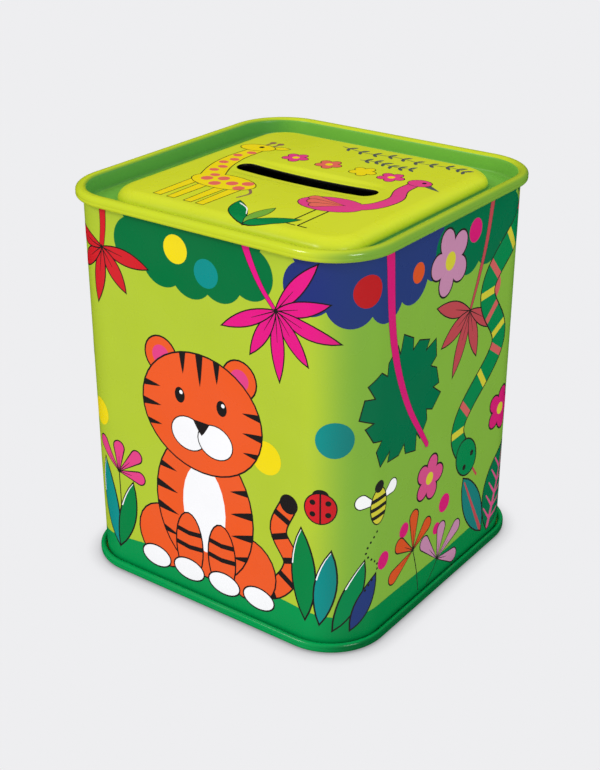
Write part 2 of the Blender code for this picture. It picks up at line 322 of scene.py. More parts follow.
def cat_head(art, at):
    """The striped cat's face, made of plain rounds, about its middle."""
    at = np.array(at, float)
    for side in (-1, 1):
        art.drawn("orange", oval(at + (side * 11.5, 12.0), 4.6))
        art.fill("pink", oval(at + (side * 11.5, 12.0), 2.6))
    face = oval(at, 17.5, 15.0, 0, 40)
    art.drawn("orange", face)
    for x, drop in ((-5.0, 6.0), (0, 8.0), (5.0, 6.0)):
        art.fill("black", spike(at + (x, 16.0), at + (x, 15.0 - drop), 2.4), clip=face)
    for side in (-1, 1):
        for z in (4.0, -1.0, -6.0):
            art.fill("black", spike(at + (side * 18.5, z), at + (side * 12.0, z), 2.2), clip=face)
        art.drawn("white", oval(at + (side * 4.0, -6.0), 5.0, 4.2), 0.3)
        art.fill("black", oval(at + (side * 6.2, 3.4), 1.5, 2.0))
        art.fill("white", oval(at + (side * 6.2 + 0.4, 4.2), 0.5))
    art.fill("black", spike(at + (0, -1.8), at + (0, -5.4), 5.0))


def cat_body(art):
    """The striped cat's body. It sits and faces out, with its tail round to the right."""
    tail = smooth([(12.0, 11.0), (21.0, 13.0), (26.0, 21.0), (22.0, 29.0), (25.0, 37.0)], False, 6)
    art.line("black", tail, 5.8, 4.8)
    art.line("orange", tail, 5.0, 4.0)
    inside = ribbon(tail, 5.0, 4.0)
    for i in range(5, len(tail) - 2, 4):
        way = tail[i + 1] - tail[i - 1]
        left = np.array([-way[1], way[0]]) / np.hypot(*way)
        art.line("black", [tail[i] - left * 3, tail[i], tail[i] + left * 3], 1.6, clip=inside)
    art.fill("black", oval(tail[-1], 2.5))
    for side in (-1, 1):
        art.drawn("orange", oval((side * 13.0, 15.0), 8.0, 8.5))
    body = oval((0, 27.0), 14.5, 19.0, 0, 36)
    art.drawn("orange", body)
    for side in (-1, 1):
        for z in (36.0, 30.0, 24.0, 18.0):
            art.fill("black", spike((side * 15.5, z), (side * 8.0, z - 1.5), 2.4), clip=body)
    art.fill("white", oval((0, 27.0), 6.5, 12.0), clip=body)
    for side in (-1, 1):
        leg = oval((side * 5.0, 15.0), 4.0, 9.0)
        art.drawn("orange", leg)
        for z in (19.0, 15.0):
            art.line("black", [(side * 5.0 - 4, z), (side * 5.0, z - 0.5), (side * 5.0 + 4, z)], 1.3,
                clip=leg)
        for x, width in ((5.5, 4.6), (16.0, 4.4)):
            art.drawn("white", oval((side * x, 8.0), width, 2.8))


def beetle(art, at):
    """A round beetle seen from above."""
    at = np.array(at, float)
    art.fill("black", oval(at + (0, 3.4), 1.9, 1.5))
    shell = oval(at, 3.6, 3.8)
    art.drawn("red", shell, 0.3)
    art.line("black", [at + (0, 3.8), at, at + (0, -3.8)], 0.4)
    for side in (-1, 1):
        for z in (1.5, -1.5):
            art.fill("black", oval(at + (side * 1.8, z), 0.7, count=12))


def bee(art, at):
    """A plain bee seen from above, heading up."""
    at = np.array(at, float)
    for side in (-1, 1):
        art.drawn("white", petal(at + (side * 1.2, 1.2), at + (side * 7.0, 3.4), 3.4), 0.25)
    body = oval(at, 2.8, 4.6)
    art.drawn("yellow", body, 0.3)
    for z in (-2.6, -0.4, 1.8):
        art.line("black", [at + (-3, z), at + (0, z), at + (3, z)], 1.0, clip=body)
    art.fill("black", oval(at + (0, 5.0), 1.7, 1.5))


def dotted(art, ink, points, radius, gap):
    """Dots at even steps along a smooth curve."""
    path = smooth(points, False, 20)
    run = np.r_[0, np.cumsum(np.hypot(*np.diff(path, axis=0).T))]
    for s in np.arange(0, run[-1], gap):
        at = (np.interp(s, run, path[:, 0]), np.interp(s, run, path[:, 1]))
        art.fill(ink, oval(at, radius, count=10))


def snake(art):
    """A banded snake that hangs down in even waves, seen from above, with its mouth closed."""
    along = np.linspace(0, 1, 61)
    body = np.c_[108 - 22 * along + 6 * np.sin(4 * math.pi * along), 99 - 66 * along]
    art.line("black", body, 7.8, 6.2)
    art.line("leaf green", body, 7.0, 5.4)
    inside = ribbon(body, 7.0, 5.4)
    for count, i in enumerate(range(4, 58, 5)):
        way = body[i + 1] - body[i - 1]
        left = np.array([-way[1], way[0]]) / np.hypot(*way)
        ink = ("yellow", "coral")[count % 2]
        art.line(ink, [body[i] - left * 4, body[i], body[i] + left * 4], 1.9, clip=inside)
    way = body[-1] - body[-3]
    way /= np.hypot(*way)
    left = np.array([-way[1], way[0]])
    middle = body[-1] + 2.5 * way
    tip = middle + 9.5 * way
    art.line("dusty red", [middle, middle + 4.0 * way, tip], 0.7)
    art.drawn("leaf green", oval(middle, 5.6, 4.3, math.degrees(math.atan2(way[1], way[0]))))
    for side in (-1, 1):
        art.fill("black", oval(middle + 1.6 * way + side * 2.2 * left, 0.8, count=14))


# ---- the picture round the wall ------------------------------------------------------------------------


def front_panel(art):
    """The front, with the sitting cat."""
    art.fill("yellow", oval((-5.8, 91.0), 3.4))
    art.fill("teal", oval((2.8, 87.2), 3.4))
    vine(art, [(13.2, 97.5), (15.2, 92.6), (18.0, 87.6), (21.7, 83.1)], "magenta", 1.9, 0.8, 0.3)
    star_leaf(art, (21.7, 83.1), (16, 50, -155, 7), "magenta")
    vine(art, [(-27.2, 97.5), (-27.4, 92.0), (-28.2, 86.8)], "red", 1.8, 1.2, 0.3)
    star_leaf(art, (-28.2, 86.8), (14, -10, -190, 5), "red", 3.4)
    dots(art, (((18.7, 46.8), 4.2, "yellow"), ((36.1, 55.2), 4.4, "teal"),
        ((-33.4, 42.8), 3.6, "yellow"), ((-40.5, 58.0), 3.0, "teal")), 28)
    posy(art, (-27.2, 28.4), (10, 130, 0, 4), "pink", 3.2, (-28.0, 7.0))
    blade(art, (-28.6, 6.8), (-32.4, 30.0), 5.2, "teal", 0.6)
    blade(art, (-28.2, 6.8), (-22.8, 26.0), 4.8, "leaf green", -0.4)
    cat_body(art)
    cat_head(art, (0, 52.0))
    beetle(art, (33.0, 38.0))
    blade(art, (29.4, 8.0), (28.4, 31.6), 5.8, "leaf green")
    blade(art, (33.0, 7.4), (35.5, 26.6), 4.8, "teal")
    blade(art, (36.2, 5.8), (43.5, 22.8), 4.6, "leaf green", -0.5)
    blade(art, (40.3, 5.4), (47.2, 18.0), 4.4, "navy", shine=False)


def right_panel(art):
    """The right side, with the snake and the bee."""
    torn_leaf(art, "deep green", (57.6, 59.0), (16, 150, -182, 13))
    vine(art, [(49.6, 97.5), (51.9, 75.5), (58.2, 58.1), (68.2, 42.8)], "magenta", 3.1, 1.3, 0.2)
    art.fill("red", oval((43.2, 89.1), 3.7))
    art.fill("orange", oval((61.3, 87.9), 2.4))
    vine(art, [(93.6, 97.5), (91.6, 87.0), (88.6, 78.4), (85.3, 71.0)], "dusty red", 1.8, 0.8, 0.3)
    star_leaf(art, (85.3, 71.0), (16, 160, 330, 5), "dusty red", 3.8)
    daisy(art, (74.9, 86.5), 8.2, "lilac", turn=180)
    art.fill("magenta", oval((85.8, 90.7), 2.9))
    art.fill("coral", oval((96.3, 73.6), 3.4, 3.6))
    snake(art)
    daisy(art, (70.0, 33.0), 6.0, "pink")
    daisy(art, (104.0, 38.0), 6.0, "magenta")
    dotted(art, "black", [(44.0, 15.0), (48.0, 20.0), (44.0, 25.0), (48.0, 30.0)], 0.32, 1.45)
    bee(art, (48.0, 36.0))
    dots(art, (((50.4, 20.2), 2.3, "magenta"), ((59.2, 23.9), 2.0, "magenta"),
        ((77.7, 22.6), 2.5, "magenta"), ((74.4, 16.9), 1.6, "magenta")), 20)
    posy(art, (63.6, 16.2), (11, -160, -325, 4), "orange", 3.6, (66.8, 3.0))
    posy(art, (75.4, 7.6), (12, 130, -20, 4), "lilac", 3.6, (70.8, 2.6))
    veined_leaf(art, (97.5, 5.0), (86.8, 25.0), 7.6, "teal", "dusty red")
    veined_leaf(art, (101.0, 3.6), (108.6, 27.0), 13.5, "deep green", "pink", 5)


def parrot(art, at):
    """A parrot on a branch, facing left."""
    at = np.array(at, float)
    art.line("brown", smooth(at + [(-22, -12.5), (-8, -11.4), (6, -12.6), (20, -10.2)], False), 2.4, 1.2)
    for tip, ink in (((9.5, -30), "navy"), ((6.5, -32), "red"), ((3.6, -29), "teal")):
        art.drawn(ink, petal(at + (1.5, -8), at + tip, 4.2))
    body = smooth(at + [(-6.5, 17.0), (0, 19.0), (5.4, 14.6), (7.6, 4.0), (6.4, -6.0), (1.6, -12.4),
        (-4.2, -10.6), (-8.2, -1.0), (-8.6, 9.0)], steps=6)
    art.drawn("red", body, 0.32)
    for tip, ink in (((6.6, -15.0), "navy"), ((3.6, -12.6), "teal"), ((1.0, -9.0), "yellow")):
        art.drawn(ink, petal(at + (1.0, 5.6), at + tip, 6.4))
    beak = smooth(at + [(-6.6, 14.6), (-10.8, 13.8), (-13.2, 9.8), (-12.6, 6.2), (-9.6, 8.6),
        (-6.8, 8.8)])
    art.drawn("yellow", oval(at + (-3.4, 12.0), 3.6, 3.8), 0.24)
    art.drawn("orange", beak)
    eye(art, at + (-3.2, 12.4), 2.1)
    for x in (-1.6, 2.0):
        art.line("black", smooth(at + [(x, -10.6), (x + 0.4, -12.2), (x - 0.6, -13.6)], False), 0.7)


def elephant(art, at):
    """An elephant seen side on, facing left."""
    at = np.array(at, float)
    art.line("black", smooth(at + [(21.5, 8.0), (24.4, 3.0), (24.2, -3.0)], False), 0.9, 0.5)
    art.fill("black", oval(at + (24.2, -4.2), 1.0, 1.7))
    for x in (4.0, 18.0, -3.5, 12.0):
        leg = smooth(at + [(x - 3.6, 0), (x + 3.6, 0), (x + 3.9, -20.0), (x + 3.4, -21.6),
            (x - 3.4, -21.6), (x - 3.9, -20.0)], steps=6)
        art.drawn("lilac", leg, 0.3)
        for toe in (-2.2, 0, 2.2):
            art.fill("pale lilac", oval(at + (x + toe, -20.6), 0.85, 1.0, count=12), clip=leg)
    body = smooth(at + [(-9, 12.0), (0, 15.6), (12, 15.4), (20.6, 9.6), (22.6, -2.0), (20.4, -9.0),
        (4, -10.8), (-6.6, -7.4), (-10, 2.0)], steps=6)
    art.drawn("lilac", body, 0.32)
    trunk = smooth(at + [(-20.0, 8.0), (-24.0, 0), (-24.4, -8.0), (-22.4, -13.4), (-18.4, -14.0),
        (-16.4, -11.0)], False, 6)
    art.line("black", trunk, 7.6, 3.8)
    art.line("lilac", trunk, 7.0, 3.2)
    head = smooth(at + [(-18, 18.6), (-9.4, 17.0), (-5.6, 8.0), (-9.0, -0.6), (-18, -2.6), (-25.4, 2.2),
        (-26.0, 12.0)], steps=6)
    art.drawn("lilac", head, 0.32)
    art.drawn("white", petal(at + (-20.4, -0.6), at + (-27.4, -5.2), 2.4))
    ear = smooth(at + [(-11.0, 15.0), (-3.4, 17.4), (2.0, 11.0), (0.4, 1.6), (-5.0, -3.4), (-9.4, 1.2),
        (-10.6, 8.0)], steps=6)
    art.drawn("pink", ear, 0.3)
    art.fill("cheek red", oval(at + (-15.4, 3.6), 2.4))
    eye(art, at + (-18.6, 9.4), 2.1)


def left_panel(art):
    """The left side, which the photograph doesn't show."""
    dots(art, (((-92.0, 88.6), 3.4, "yellow"), ((-84.0, 92.6), 2.6, "magenta"),
        ((-57.0, 89.0), 3.2, "red"), ((-101.0, 62.0), 4.0, "teal"), ((-52.0, 50.0), 3.6, "orange")), 28)
    vine(art, [(-104.0, 97.5), (-103.0, 90.0), (-104.5, 82.0)], "magenta", 1.8, 0.9, 0.3)
    star_leaf(art, (-104.5, 82.0), (14, -15, -185, 5), "magenta")
    parrot(art, (-76.0, 62.0))
    daisy(art, (-58.5, 70.5), 6.4, "lilac", turn=40)
    posy(art, (-97.4, 30.2), (10, 135, 5, 4), "pink", 3.4, (-98.6, 7.0))
    posy(art, (-63.0, 24.0), (10, 140, 5, 4), "orange", 3.4, (-61.6, 6.6))
    blade(art, (-100.4, 6.6), (-106.0, 27.4), 5.4, "teal", 0.5)
    blade(art, (-96.6, 6.6), (-92.4, 25.0), 5.0, "leaf green", -0.4)
    blade(art, (-78.6, 6.8), (-80.4, 30.0), 5.6, "leaf green")
    blade(art, (-75.2, 6.4), (-71.0, 24.6), 4.8, "navy", shine=False)
    veined_leaf(art, (-53.4, 5.6), (-47.6, 28.0), 9.5, "deep green", "pink", 5)
    veined_leaf(art, (-56.6, 5.6), (-67.4, 19.0), 7.0, "teal", "dusty red")
    dots(art, (((-86.0, 21.0), 2.2, "magenta"), ((-64.4, 41.6), 1.8, "magenta"),
        ((-87.6, 40.0), 2.4, "magenta")), 20)


def back_panel(art):
    """The back, either side of the seam. The elephant stands to the right of the seam as seen from behind."""
    dots(art, (((-131.0, 90.0), 3.4, "yellow"), ((-140.4, 88.0), 2.4, "teal"),
        ((134.0, 87.0), 3.3, "red"), ((125.0, 62.0), 3.8, "yellow"), ((146.0, 72.0), 3.0, "teal")), 28)
    elephant(art, (-120.2, 31.0))
    vine(art, [(-118.0, 97.5), (-119.6, 88.0), (-122.0, 78.0)], "red", 1.8, 1.0, 0.3)
    star_leaf(art, (-122.0, 78.0), (15, -20, -180, 5), "red", 3.4)
    daisy(art, (-143.4, 66.0), 6.2, "pink", turn=20)
    vine(art, [(133.0, 97.5), (134.8, 84.0), (132.6, 70.0), (136.0, 56.0)], "magenta", 2.4, 1.0, 0.2)
    torn_leaf(art, "deep green", (137.0, 44.0), (12, 150, -182, 13))
    star_leaf(art, (120.6, 84.0), (15, -20, -130, 4), "dusty red", 3.6)
    posy(art, (128.4, 20.4), (10, 135, 5, 4), "orange", 3.4, (129.6, 4.0))
    blade(art, (138.0, 6.0), (136.4, 26.4), 5.4, "teal")
    blade(art, (141.6, 6.0), (144.6, 27.6), 5.4, "leaf green")
    dots(art, (((121.4, 40.0), 2.4, "magenta"), ((146.4, 16.4), 1.9, "magenta"),
        ((-110.4, 58.0), 2.4, "magenta"), ((-105.6, 48.6), 1.7, "magenta")), 20)


def treetops(art):
    """The foliage along the wall's upper edge, which everything else hangs in front of."""
    trees = (
        ("deep green", -22, 19),
        ("navy", 25, 74),
        ("deep green", 70, 106),
        ("deep green", -115, -73),
        ("navy", -72, -43),
        ("deep green", -151, -113),
        ("navy", 117, 151),
    )
    for ink, low, high in trees:
        canopy(art, ink, low, high)


def wall_print():
    """The whole picture round the wall, from the ground up."""
    art = Print()
    meadow(art, "grass green", -1, [(-151.6, 8.6), (-130, 10.2), (-108, 9.0), (-80, 8), (-45, 7.4),
        (-30, 9.0), (-14, 10.6), (6, 11.2), (24, 10.6), (38, 9.0), (56, 8.6), (76, 8.2), (95, 8.8),
        (112, 9.4), (130, 10.4), (151.6, 8.6)])
    treetops(art)
    left_panel(art)
    back_panel(art)
    front_panel(art)
    right_panel(art)
    return art


# ---- the picture on the lid ----------------------------------------------------------------------------


def giraffe(art):
    """A plain giraffe at the left of the slot. It faces left, and its neck goes up past the slot."""
    art.line("brown", smooth([(-6.0, -14.0), (-3.4, -17.0), (-4.0, -21.0)], False), 0.8, 0.5)
    for x in (-20.5, -16.5, -11.5, -8.0):
        art.drawn("yellow", [(x - 1.3, -15.0), (x + 1.3, -15.0), (x + 1.0, -29.5), (x - 1.0, -29.5)],
            0.22)
    body = oval((-14.0, -13.5), 8.8, 4.8)
    neck = smooth([(-19.0, -12.0), (-22.6, -4.0), (-24.2, 4.0), (-24.0, 13.0)], False)
    art.line("black", neck, 6.4, 4.2)
    art.drawn("yellow", body, 0.22)
    art.line("yellow", neck, 5.9, 3.7)
    inside = ribbon(neck, 5.9, 3.7)
    for i in range(1, len(neck), 2):
        art.fill("coral", oval(neck[i] + (0.7 * (-1) ** (i // 2), 0), 1.3, 1.1, count=14), clip=inside)
    for x, y in ((-19.0, -13.5), (-15.5, -11.5), (-15.0, -15.6), (-11.5, -13.4), (-8.2, -11.6),
            (-8.0, -15.4)):
        art.fill("coral", oval((x, y), 1.5, count=16), clip=body)
    for x in (-24.8, -22.4):
        art.line("brown", [(x, 15.0), (x + 0.2, 17.2), (x + 0.4, 19.4)], 0.7)
        art.fill("brown", oval((x + 0.4, 19.6), 0.9, count=14))
    art.drawn("yellow", leaf((-22.0, 15.4), (-17.4, 17.4), 2.2, 0, 0.8), 0.2)
    art.drawn("yellow", oval((-25.0, 14.0), 4.6, 2.7, 12), 0.22)
    art.fill("black", oval((-24.4, 14.8), 0.7, count=14))


def wading_bird(art):
    """A plain pink wading bird at the right of the slot. It stands on both legs and faces right."""
    for x in (15.5, 18.5):
        art.line("black", [(x, -16.0), (x, -22.0), (x, -28.5)], 0.4)
        art.line("black", [(x, -28.5), (x + 1.2, -28.6), (x + 2.4, -28.6)], 0.4)
    neck = smooth([(20.0, -12.5), (24.5, -8.0), (25.8, -1.0), (23.6, 5.0), (23.4, 11.0)], False)
    body = oval((16.0, -12.5), 7.8, 4.8, 10)
    art.line("black", neck, 4.4, 3.2)
    art.drawn("pink", body, 0.22)
    art.line("pink", neck, 3.9, 2.7)
    for tip in ((9.0, -10.5), (10.0, -13.0), (12.0, -15.4)):
        art.drawn("coral", petal((19.0, -11.5), tip, 2.8), 0.2)
    art.fill("grey", spike((25.4, 12.0), (31.0, 9.4), 2.2))
    art.drawn("pink", oval((24.0, 12.4), 2.9, 2.4), 0.22)
    art.fill("black", oval((24.8, 13.0), 0.55, count=14))


def sprig(art, points):
    """A thin stem with small leaves along both its sides."""
    stem = smooth(points, False, 4)
    art.line("grey", stem, 0.3, 0.2)
    for i in range(1, len(stem) - 1, 2):
        way = stem[i + 1] - stem[i - 1]
        for turn in (50, -50):
            tip = stem[i] + turned([way], turn)[0] / np.hypot(*way) * 2.5
            art.fill("grey", leaf(stem[i], tip, 1.0, 0, 0.8))


def lid_print():
    """The picture on the lid, either side of the slot."""
    art = Print()
    sprig(art, [(-8.0, 27.4), (0.0, 26.0), (8.0, 27.2), (16.0, 26.4), (24.0, 27.6), (28.5, 26.4)])
    sprig(art, [(2.0, 20.2), (7.0, 21.2), (12.0, 20.0), (17.0, 21.0)])
    giraffe(art)
    wading_bird(art)
    for x, ink in ((-12.0, "pink"), (-2.0, "coral"), (8.0, "yellow"), (16.0, "pink")):
        daisy(art, (x, 12.5), 3.4, ink, line=0.2)
    art.drawn("leaf green", leaf((6.8, -32.6), (-2.0, -22.4), 4.0, 0.8, 0.8), 0.24)
    art.drawn("light green", leaf((6.8, -32.6), (7.6, -22.0), 2.9, 0, 0.8), 0.2)
    art.drawn("leaf green", leaf((6.8, -32.6), (16.8, -25.2), 3.6, -0.5, 0.8), 0.24)
    art.line("white", smooth([(-1.0, -23.6), (2.4, -25.6), (4.8, -28.8)], False), 0.4, 0.2)
    return art

# ---- sizes of the can, in millimetres, as in the CAD ---------------------------------------------------

LOW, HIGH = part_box("top_end")
HAIR = 0.001
WIDTH = (HIGH.x - LOW.x) / MM - 2 * HAIR
HEIGHT = HIGH.z / MM - HAIR
SHEET = 0.30
GAP = 0.28
PITCH = SHEET + GAP
WALL_CORNER_R = 13.25
SEAM_HEIGHT = 2.5
WALL_HALF = WIDTH / 2 - 3 * PITCH
WALL_MID = WALL_HALF - SHEET / 2
CHUCK_MID = WALL_MID - PITCH
COVER_HOOK_MID = WALL_MID + PITCH
BODY_HOOK_MID = WALL_MID + 2 * PITCH
CREST_FLAT = 0.4
BEAD_R = 2 * PITCH - CREST_FLAT / 2
FLANGE_R = PITCH - CREST_FLAT / 2
CREST_DROP = SHEET / 2 + BEAD_R
FOLD_DROP = SEAM_HEIGHT - SHEET / 2 - PITCH
HOOK_TIP_CLEARANCE = 0.04

RECESS_DEPTH = 4.4
CHUCK_FILLET = 0.9
PANEL_DROP = 1.0
PANEL_HALF = 30.2
PANEL_CORNER_R = 5.5
SHOULDER_WIDTH = 3.3
SHOULDER_DROP = 2.65
SHOULDER_FOOT_R = RECESS_DEPTH - PANEL_DROP - SHOULDER_DROP
SLOT_LENGTH = 39.6
SLOT_WIDTH = 5.5
SLOT_CORNER_R = 2.6
SLOT_LIP_R = 0.3
SLOT_LIP_DEPTH = 0.6
DISH_DEPTH = 0.65
DISH_FADE = 0.9
DISH_FLAT = 1.2
DISH_SLOPE = 2.4

BASE_RECESS = 4.6
HOLE_R = 17.5
HOLE_LIP_R = 0.55
HOLE_LIP_HEIGHT = 1.1
RING_R = 26.0
RING_RISE = 0.6
RING_SLOPE = 1.6
ROUND_FLAT = 0.1

LOCK_SEAM_WIDTH = 3.2
LOCK_SEAM_DEPTH = 0.75
LOCK_SEAM_EDGE = 0.25
LOCK_GROOVE_DEPTH = 0.12
LOCK_GROOVE_WIDTH = 0.3
LOCK_SEAM_END = 4.5

STOPPER_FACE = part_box("stopper")[0].z / MM
STOPPER_R = 21.0
STOPPER_THICK = 1.5
SNAP_R = HOLE_R - 0.3
SNAP_LOW = 2.9
SNAP_HIGH = 3.7
SNAP_SLOPE = 0.6
SNAP_STAND = 0.5
SKIRT_HEIGHT = 5.4
SKIRT_THICK = 1.2
SKIRT_TAPER = 0.3
WEB_RISE = 1.7
WEB_THICK = 1.2
POCKET_R = 14.2
LAND_R = 15.0
LAND_SET_BACK = 0.3
LAND_ROOT = 0.6
LAND_X = -7.7

TAB_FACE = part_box("stopper_pull_tab")[0].z / MM + 0.4
TAB_THICK = 1.4
TAB_HALF_WIDTH = 7.5
TAB_TIP_X = 12.0
TAB_HINGE_X = -7.4
TAB_EDGE_R = 0.3
RIB_COUNT = 3
RIB_FIRST_X = 3.6
RIB_PITCH = 2.4
RIB_WIDTH = 1.0
RIB_HALF_LENGTH = 4.2
RIB_STAND = 0.4
ROUNDED_EDGE = ((0.3, 0), (0.09, 0.09), (0, 0.3))  # steps of a small rounded edge: (inset, rise)

CORNER_STEPS = 20  # straight steps in each quarter turn of the can's outline
ROUND_STEPS = 18
SIDE_STEPS = 12
CREASE_DEG = 24  # how far round each bead of a seam turns back in, at both edges of the seam's flat face
BEND_STEPS = 8
SLOPE_STEPS = 8

FILM = 0.02  # how far the ink stands off the lacquer
STRAIGHT = WALL_HALF - WALL_CORNER_R  # half the flat length of one wall
CORNER_ARC = WALL_CORNER_R * math.pi / 2
SIDE_PITCH = 2 * STRAIGHT + CORNER_ARC  # from the middle of one wall to the middle of the next, along the tin
PRINT_LOW = 1.5
PRINT_HIGH = HEIGHT - PRINT_LOW
BACK_MARGIN = 2.2  # unprinted strip at each side of the back seam
LID_PRINT_SHARE = 0.9  # how far down the width of the panel's shoulder the print may reach


# ---- sheet metal ---------------------------------------------------------------------------------------


def arc(centre, radius, start, end, steps, radius_2=None):
    """Points of an arc from angle start to angle end, in degrees. radius_2 makes it elliptical."""
    angles = [math.radians(start + (end - start) * i / steps) for i in range(steps + 1)]
    up = radius_2 or radius
    return [(centre[0] + radius * math.cos(a), centre[1] + up * math.sin(a)) for a in angles]


def level(points, z):
    """The same points in space, at height z."""
    return [Vector((x, y, z)) for x, y in points]


def rounded_rectangle(half_x, half_y, radius, z):
    """A loop round a rounded rectangle at height z, anticlockwise from the upper end of its +X side."""
    points = []
    for quarter, (side_x, side_y) in enumerate(((1, 1), (-1, 1), (-1, -1), (1, -1))):
        centre = (side_x * (half_x - radius), side_y * (half_y - radius))
        points += arc(centre, radius, 90 * quarter, 90 * quarter + 90, CORNER_STEPS)
    return level(points, z)


def circle(radius, z):
    """A loop round the Z axis at height z."""
    count = 4 * ROUND_STEPS
    return level(arc((0, 0), radius, 0, 360, count)[:count], z)


def both_sides(middle):
    """A sheet's closed outline from its middle line: the left side forwards, then the right side back."""
    points = [Vector(p) for p in middle]
    steps = [(after - before).normalized() for before, after in zip(points, points[1:])]
    left, right = [], []
    for point, into, out_of in zip(points, [steps[0], *steps], [*steps, steps[-1]]):
        along = (into + out_of).normalized()
        reach = SHEET / 2 / along.dot(into)
        normal = Vector((-along.y, along.x)) * reach
        left.append(point + normal)
        right.append(point - normal)
    return left + right[::-1]


def put_in_scene(name, bm, sharp_deg=35):
    """A smooth-shaded object from bm, which is in millimetres."""
    mesh = bpy.data.meshes.new(name)
    bmesh.ops.scale(bm, vec=(MM, MM, MM), verts=bm.verts)
    bm.to_mesh(mesh)
    bm.free()
    mesh.shade_smooth()
    mesh.set_sharp_from_angle(angle=math.radians(sharp_deg))
    obj = bpy.data.objects.new(name, mesh)
    bpy.context.scene.collection.objects.link(obj)
    return obj


def skinned(loops, closed, slots=None):
    """A bmesh skinned over the loops, with slots[i] as the material of the band from loop i to the next."""
    bm = bmesh.new()
    rows = [[bm.verts.new(point) for point in loop] for loop in loops]
    pairs = list(zip(rows, rows[1:]))
    if closed:
        pairs.append((rows[-1], rows[0]))
    else:
        bm.faces.new(rows[0])
        bm.faces.new(rows[-1])
    for index, (low, high) in enumerate(pairs):
        for i, j in zip(range(len(low)), [*range(1, len(low)), 0]):
            face = bm.faces.new((low[i], low[j], high[j], high[i]))
            face.material_index = slots[index] if slots else 0
    bmesh.ops.recalc_face_normals(bm, faces=bm.faces)
    return bm


def crest(radius, steps, turn_in=0):
    """Middle line of a sheet over a seam's crest: (distance from the can's axis, height from its edge)."""
    inner = (COVER_HOOK_MID - CREST_FLAT / 2, -CREST_DROP)
    outer = (COVER_HOOK_MID + CREST_FLAT / 2, -CREST_DROP)
    return [*arc(inner, radius, 180, 90, steps), *arc(outer, radius, 90, -turn_in, steps)]


def end_edge():
    """The edge of an end, in the same terms: over the crest, down the outside and up again as a hook."""
    fold = (BODY_HOOK_MID, -FOLD_DROP)
    hook_tip = (COVER_HOOK_MID, -CREST_DROP - HOOK_TIP_CLEARANCE)
    bead = crest(BEAD_R, BEND_STEPS, CREASE_DEG)
    return [*bead, *arc(fold, PITCH, CREASE_DEG, -180, 2 * BEND_STEPS), hook_tip]


def wall_edge():
    """The edge of the wall, in the same terms: over the crest and down as a hook inside the end's."""
    hook_tip = (BODY_HOOK_MID, -FOLD_DROP + HOOK_TIP_CLEARANCE)
    return [*crest(FLANGE_R, BEND_STEPS), hook_tip]


def end_corner_radius(half, inner_half, inner_radius):
    """Corner radius of an end's loop of this half width, blended from inner_radius to the seam's."""
    seam_half = CHUCK_MID - CHUCK_FILLET
    if half >= seam_half:
        return WALL_CORNER_R - (WALL_HALF - half)
    seam_radius = WALL_CORNER_R - (WALL_HALF - seam_half)
    share = max(0.0, (half - inner_half) / (seam_half - inner_half))
    return inner_radius + (seam_radius - inner_radius) * share


def slot_edge():
    """Middle line from the slot's turned-down lip up its dish: (distance out of the slot, height)."""
    dish_mid = -PANEL_DROP - DISH_DEPTH - SHEET / 2
    lip_centre = (SHEET / 2 + SLOT_LIP_R, dish_mid - SLOT_LIP_R)
    lip = [(SHEET / 2, dish_mid - SLOT_LIP_DEPTH)]
    lip += arc(lip_centre, SLOT_LIP_R, 180, 90, BEND_STEPS)
    slope = []
    for step in range(SLOPE_STEPS + 1):
        share = step / SLOPE_STEPS
        rise = DISH_DEPTH * (1 - math.cos(math.pi * share)) / 2
        slope.append((lip_centre[0] + DISH_FLAT + DISH_SLOPE * share, dish_mid + rise))
    return lip + slope


def with_side_points(loop):
    """The same rounded rectangle with more points along its two sides that run along X."""
    count = CORNER_STEPS + 1
    points = []
    for quarter in range(4):
        points += loop[quarter * count : (quarter + 1) * count]
        if quarter % 2 == 0:
            start, end = points[-1], loop[(quarter + 1) * count]
            points += [start.lerp(end, i / SIDE_STEPS) for i in range(1, SIDE_STEPS)]
    return points


def dish_depth(x, out):
    """How far below the raised panel the dish lies at x along the slot and out away from it."""
    slope_share = np.clip((out - SHEET / 2 - SLOT_LIP_R - DISH_FLAT) / DISH_SLOPE, 0, 1)
    fade = 1 - DISH_FADE * np.minimum(np.abs(x) / (SLOT_LENGTH / 2), 1) ** 2
    return DISH_DEPTH * fade * (1 + np.cos(math.pi * slope_share)) / 2


def panel_edge():
    """Middle lines of the raised panel's shoulder, and of the channel and the upright beyond it."""
    shoulder_z = -PANEL_DROP - SHEET / 2 - SHOULDER_DROP
    shoulder = arc((PANEL_HALF, shoulder_z), SHOULDER_WIDTH, 90, 0, 12, SHOULDER_DROP)
    foot_centre = (PANEL_HALF + SHOULDER_WIDTH + SHOULDER_FOOT_R, shoulder_z)
    foot = arc(foot_centre, SHOULDER_FOOT_R, 180, 270, BEND_STEPS)[1:]
    turn_centre = (CHUCK_MID - CHUCK_FILLET, -RECESS_DEPTH - SHEET / 2 + CHUCK_FILLET)
    return shoulder, foot + arc(turn_centre, CHUCK_FILLET, 270, 360, BEND_STEPS)


def sheet_slots(*runs):
    """Material slots for a sheet's bands: (slot, count of points) along its shown side, then the highest of
    those slots, the tin, along its other side.
    """
    shown = [slot for slot, count in runs for _ in range(count)]
    return shown + [max(shown)] * len(shown)


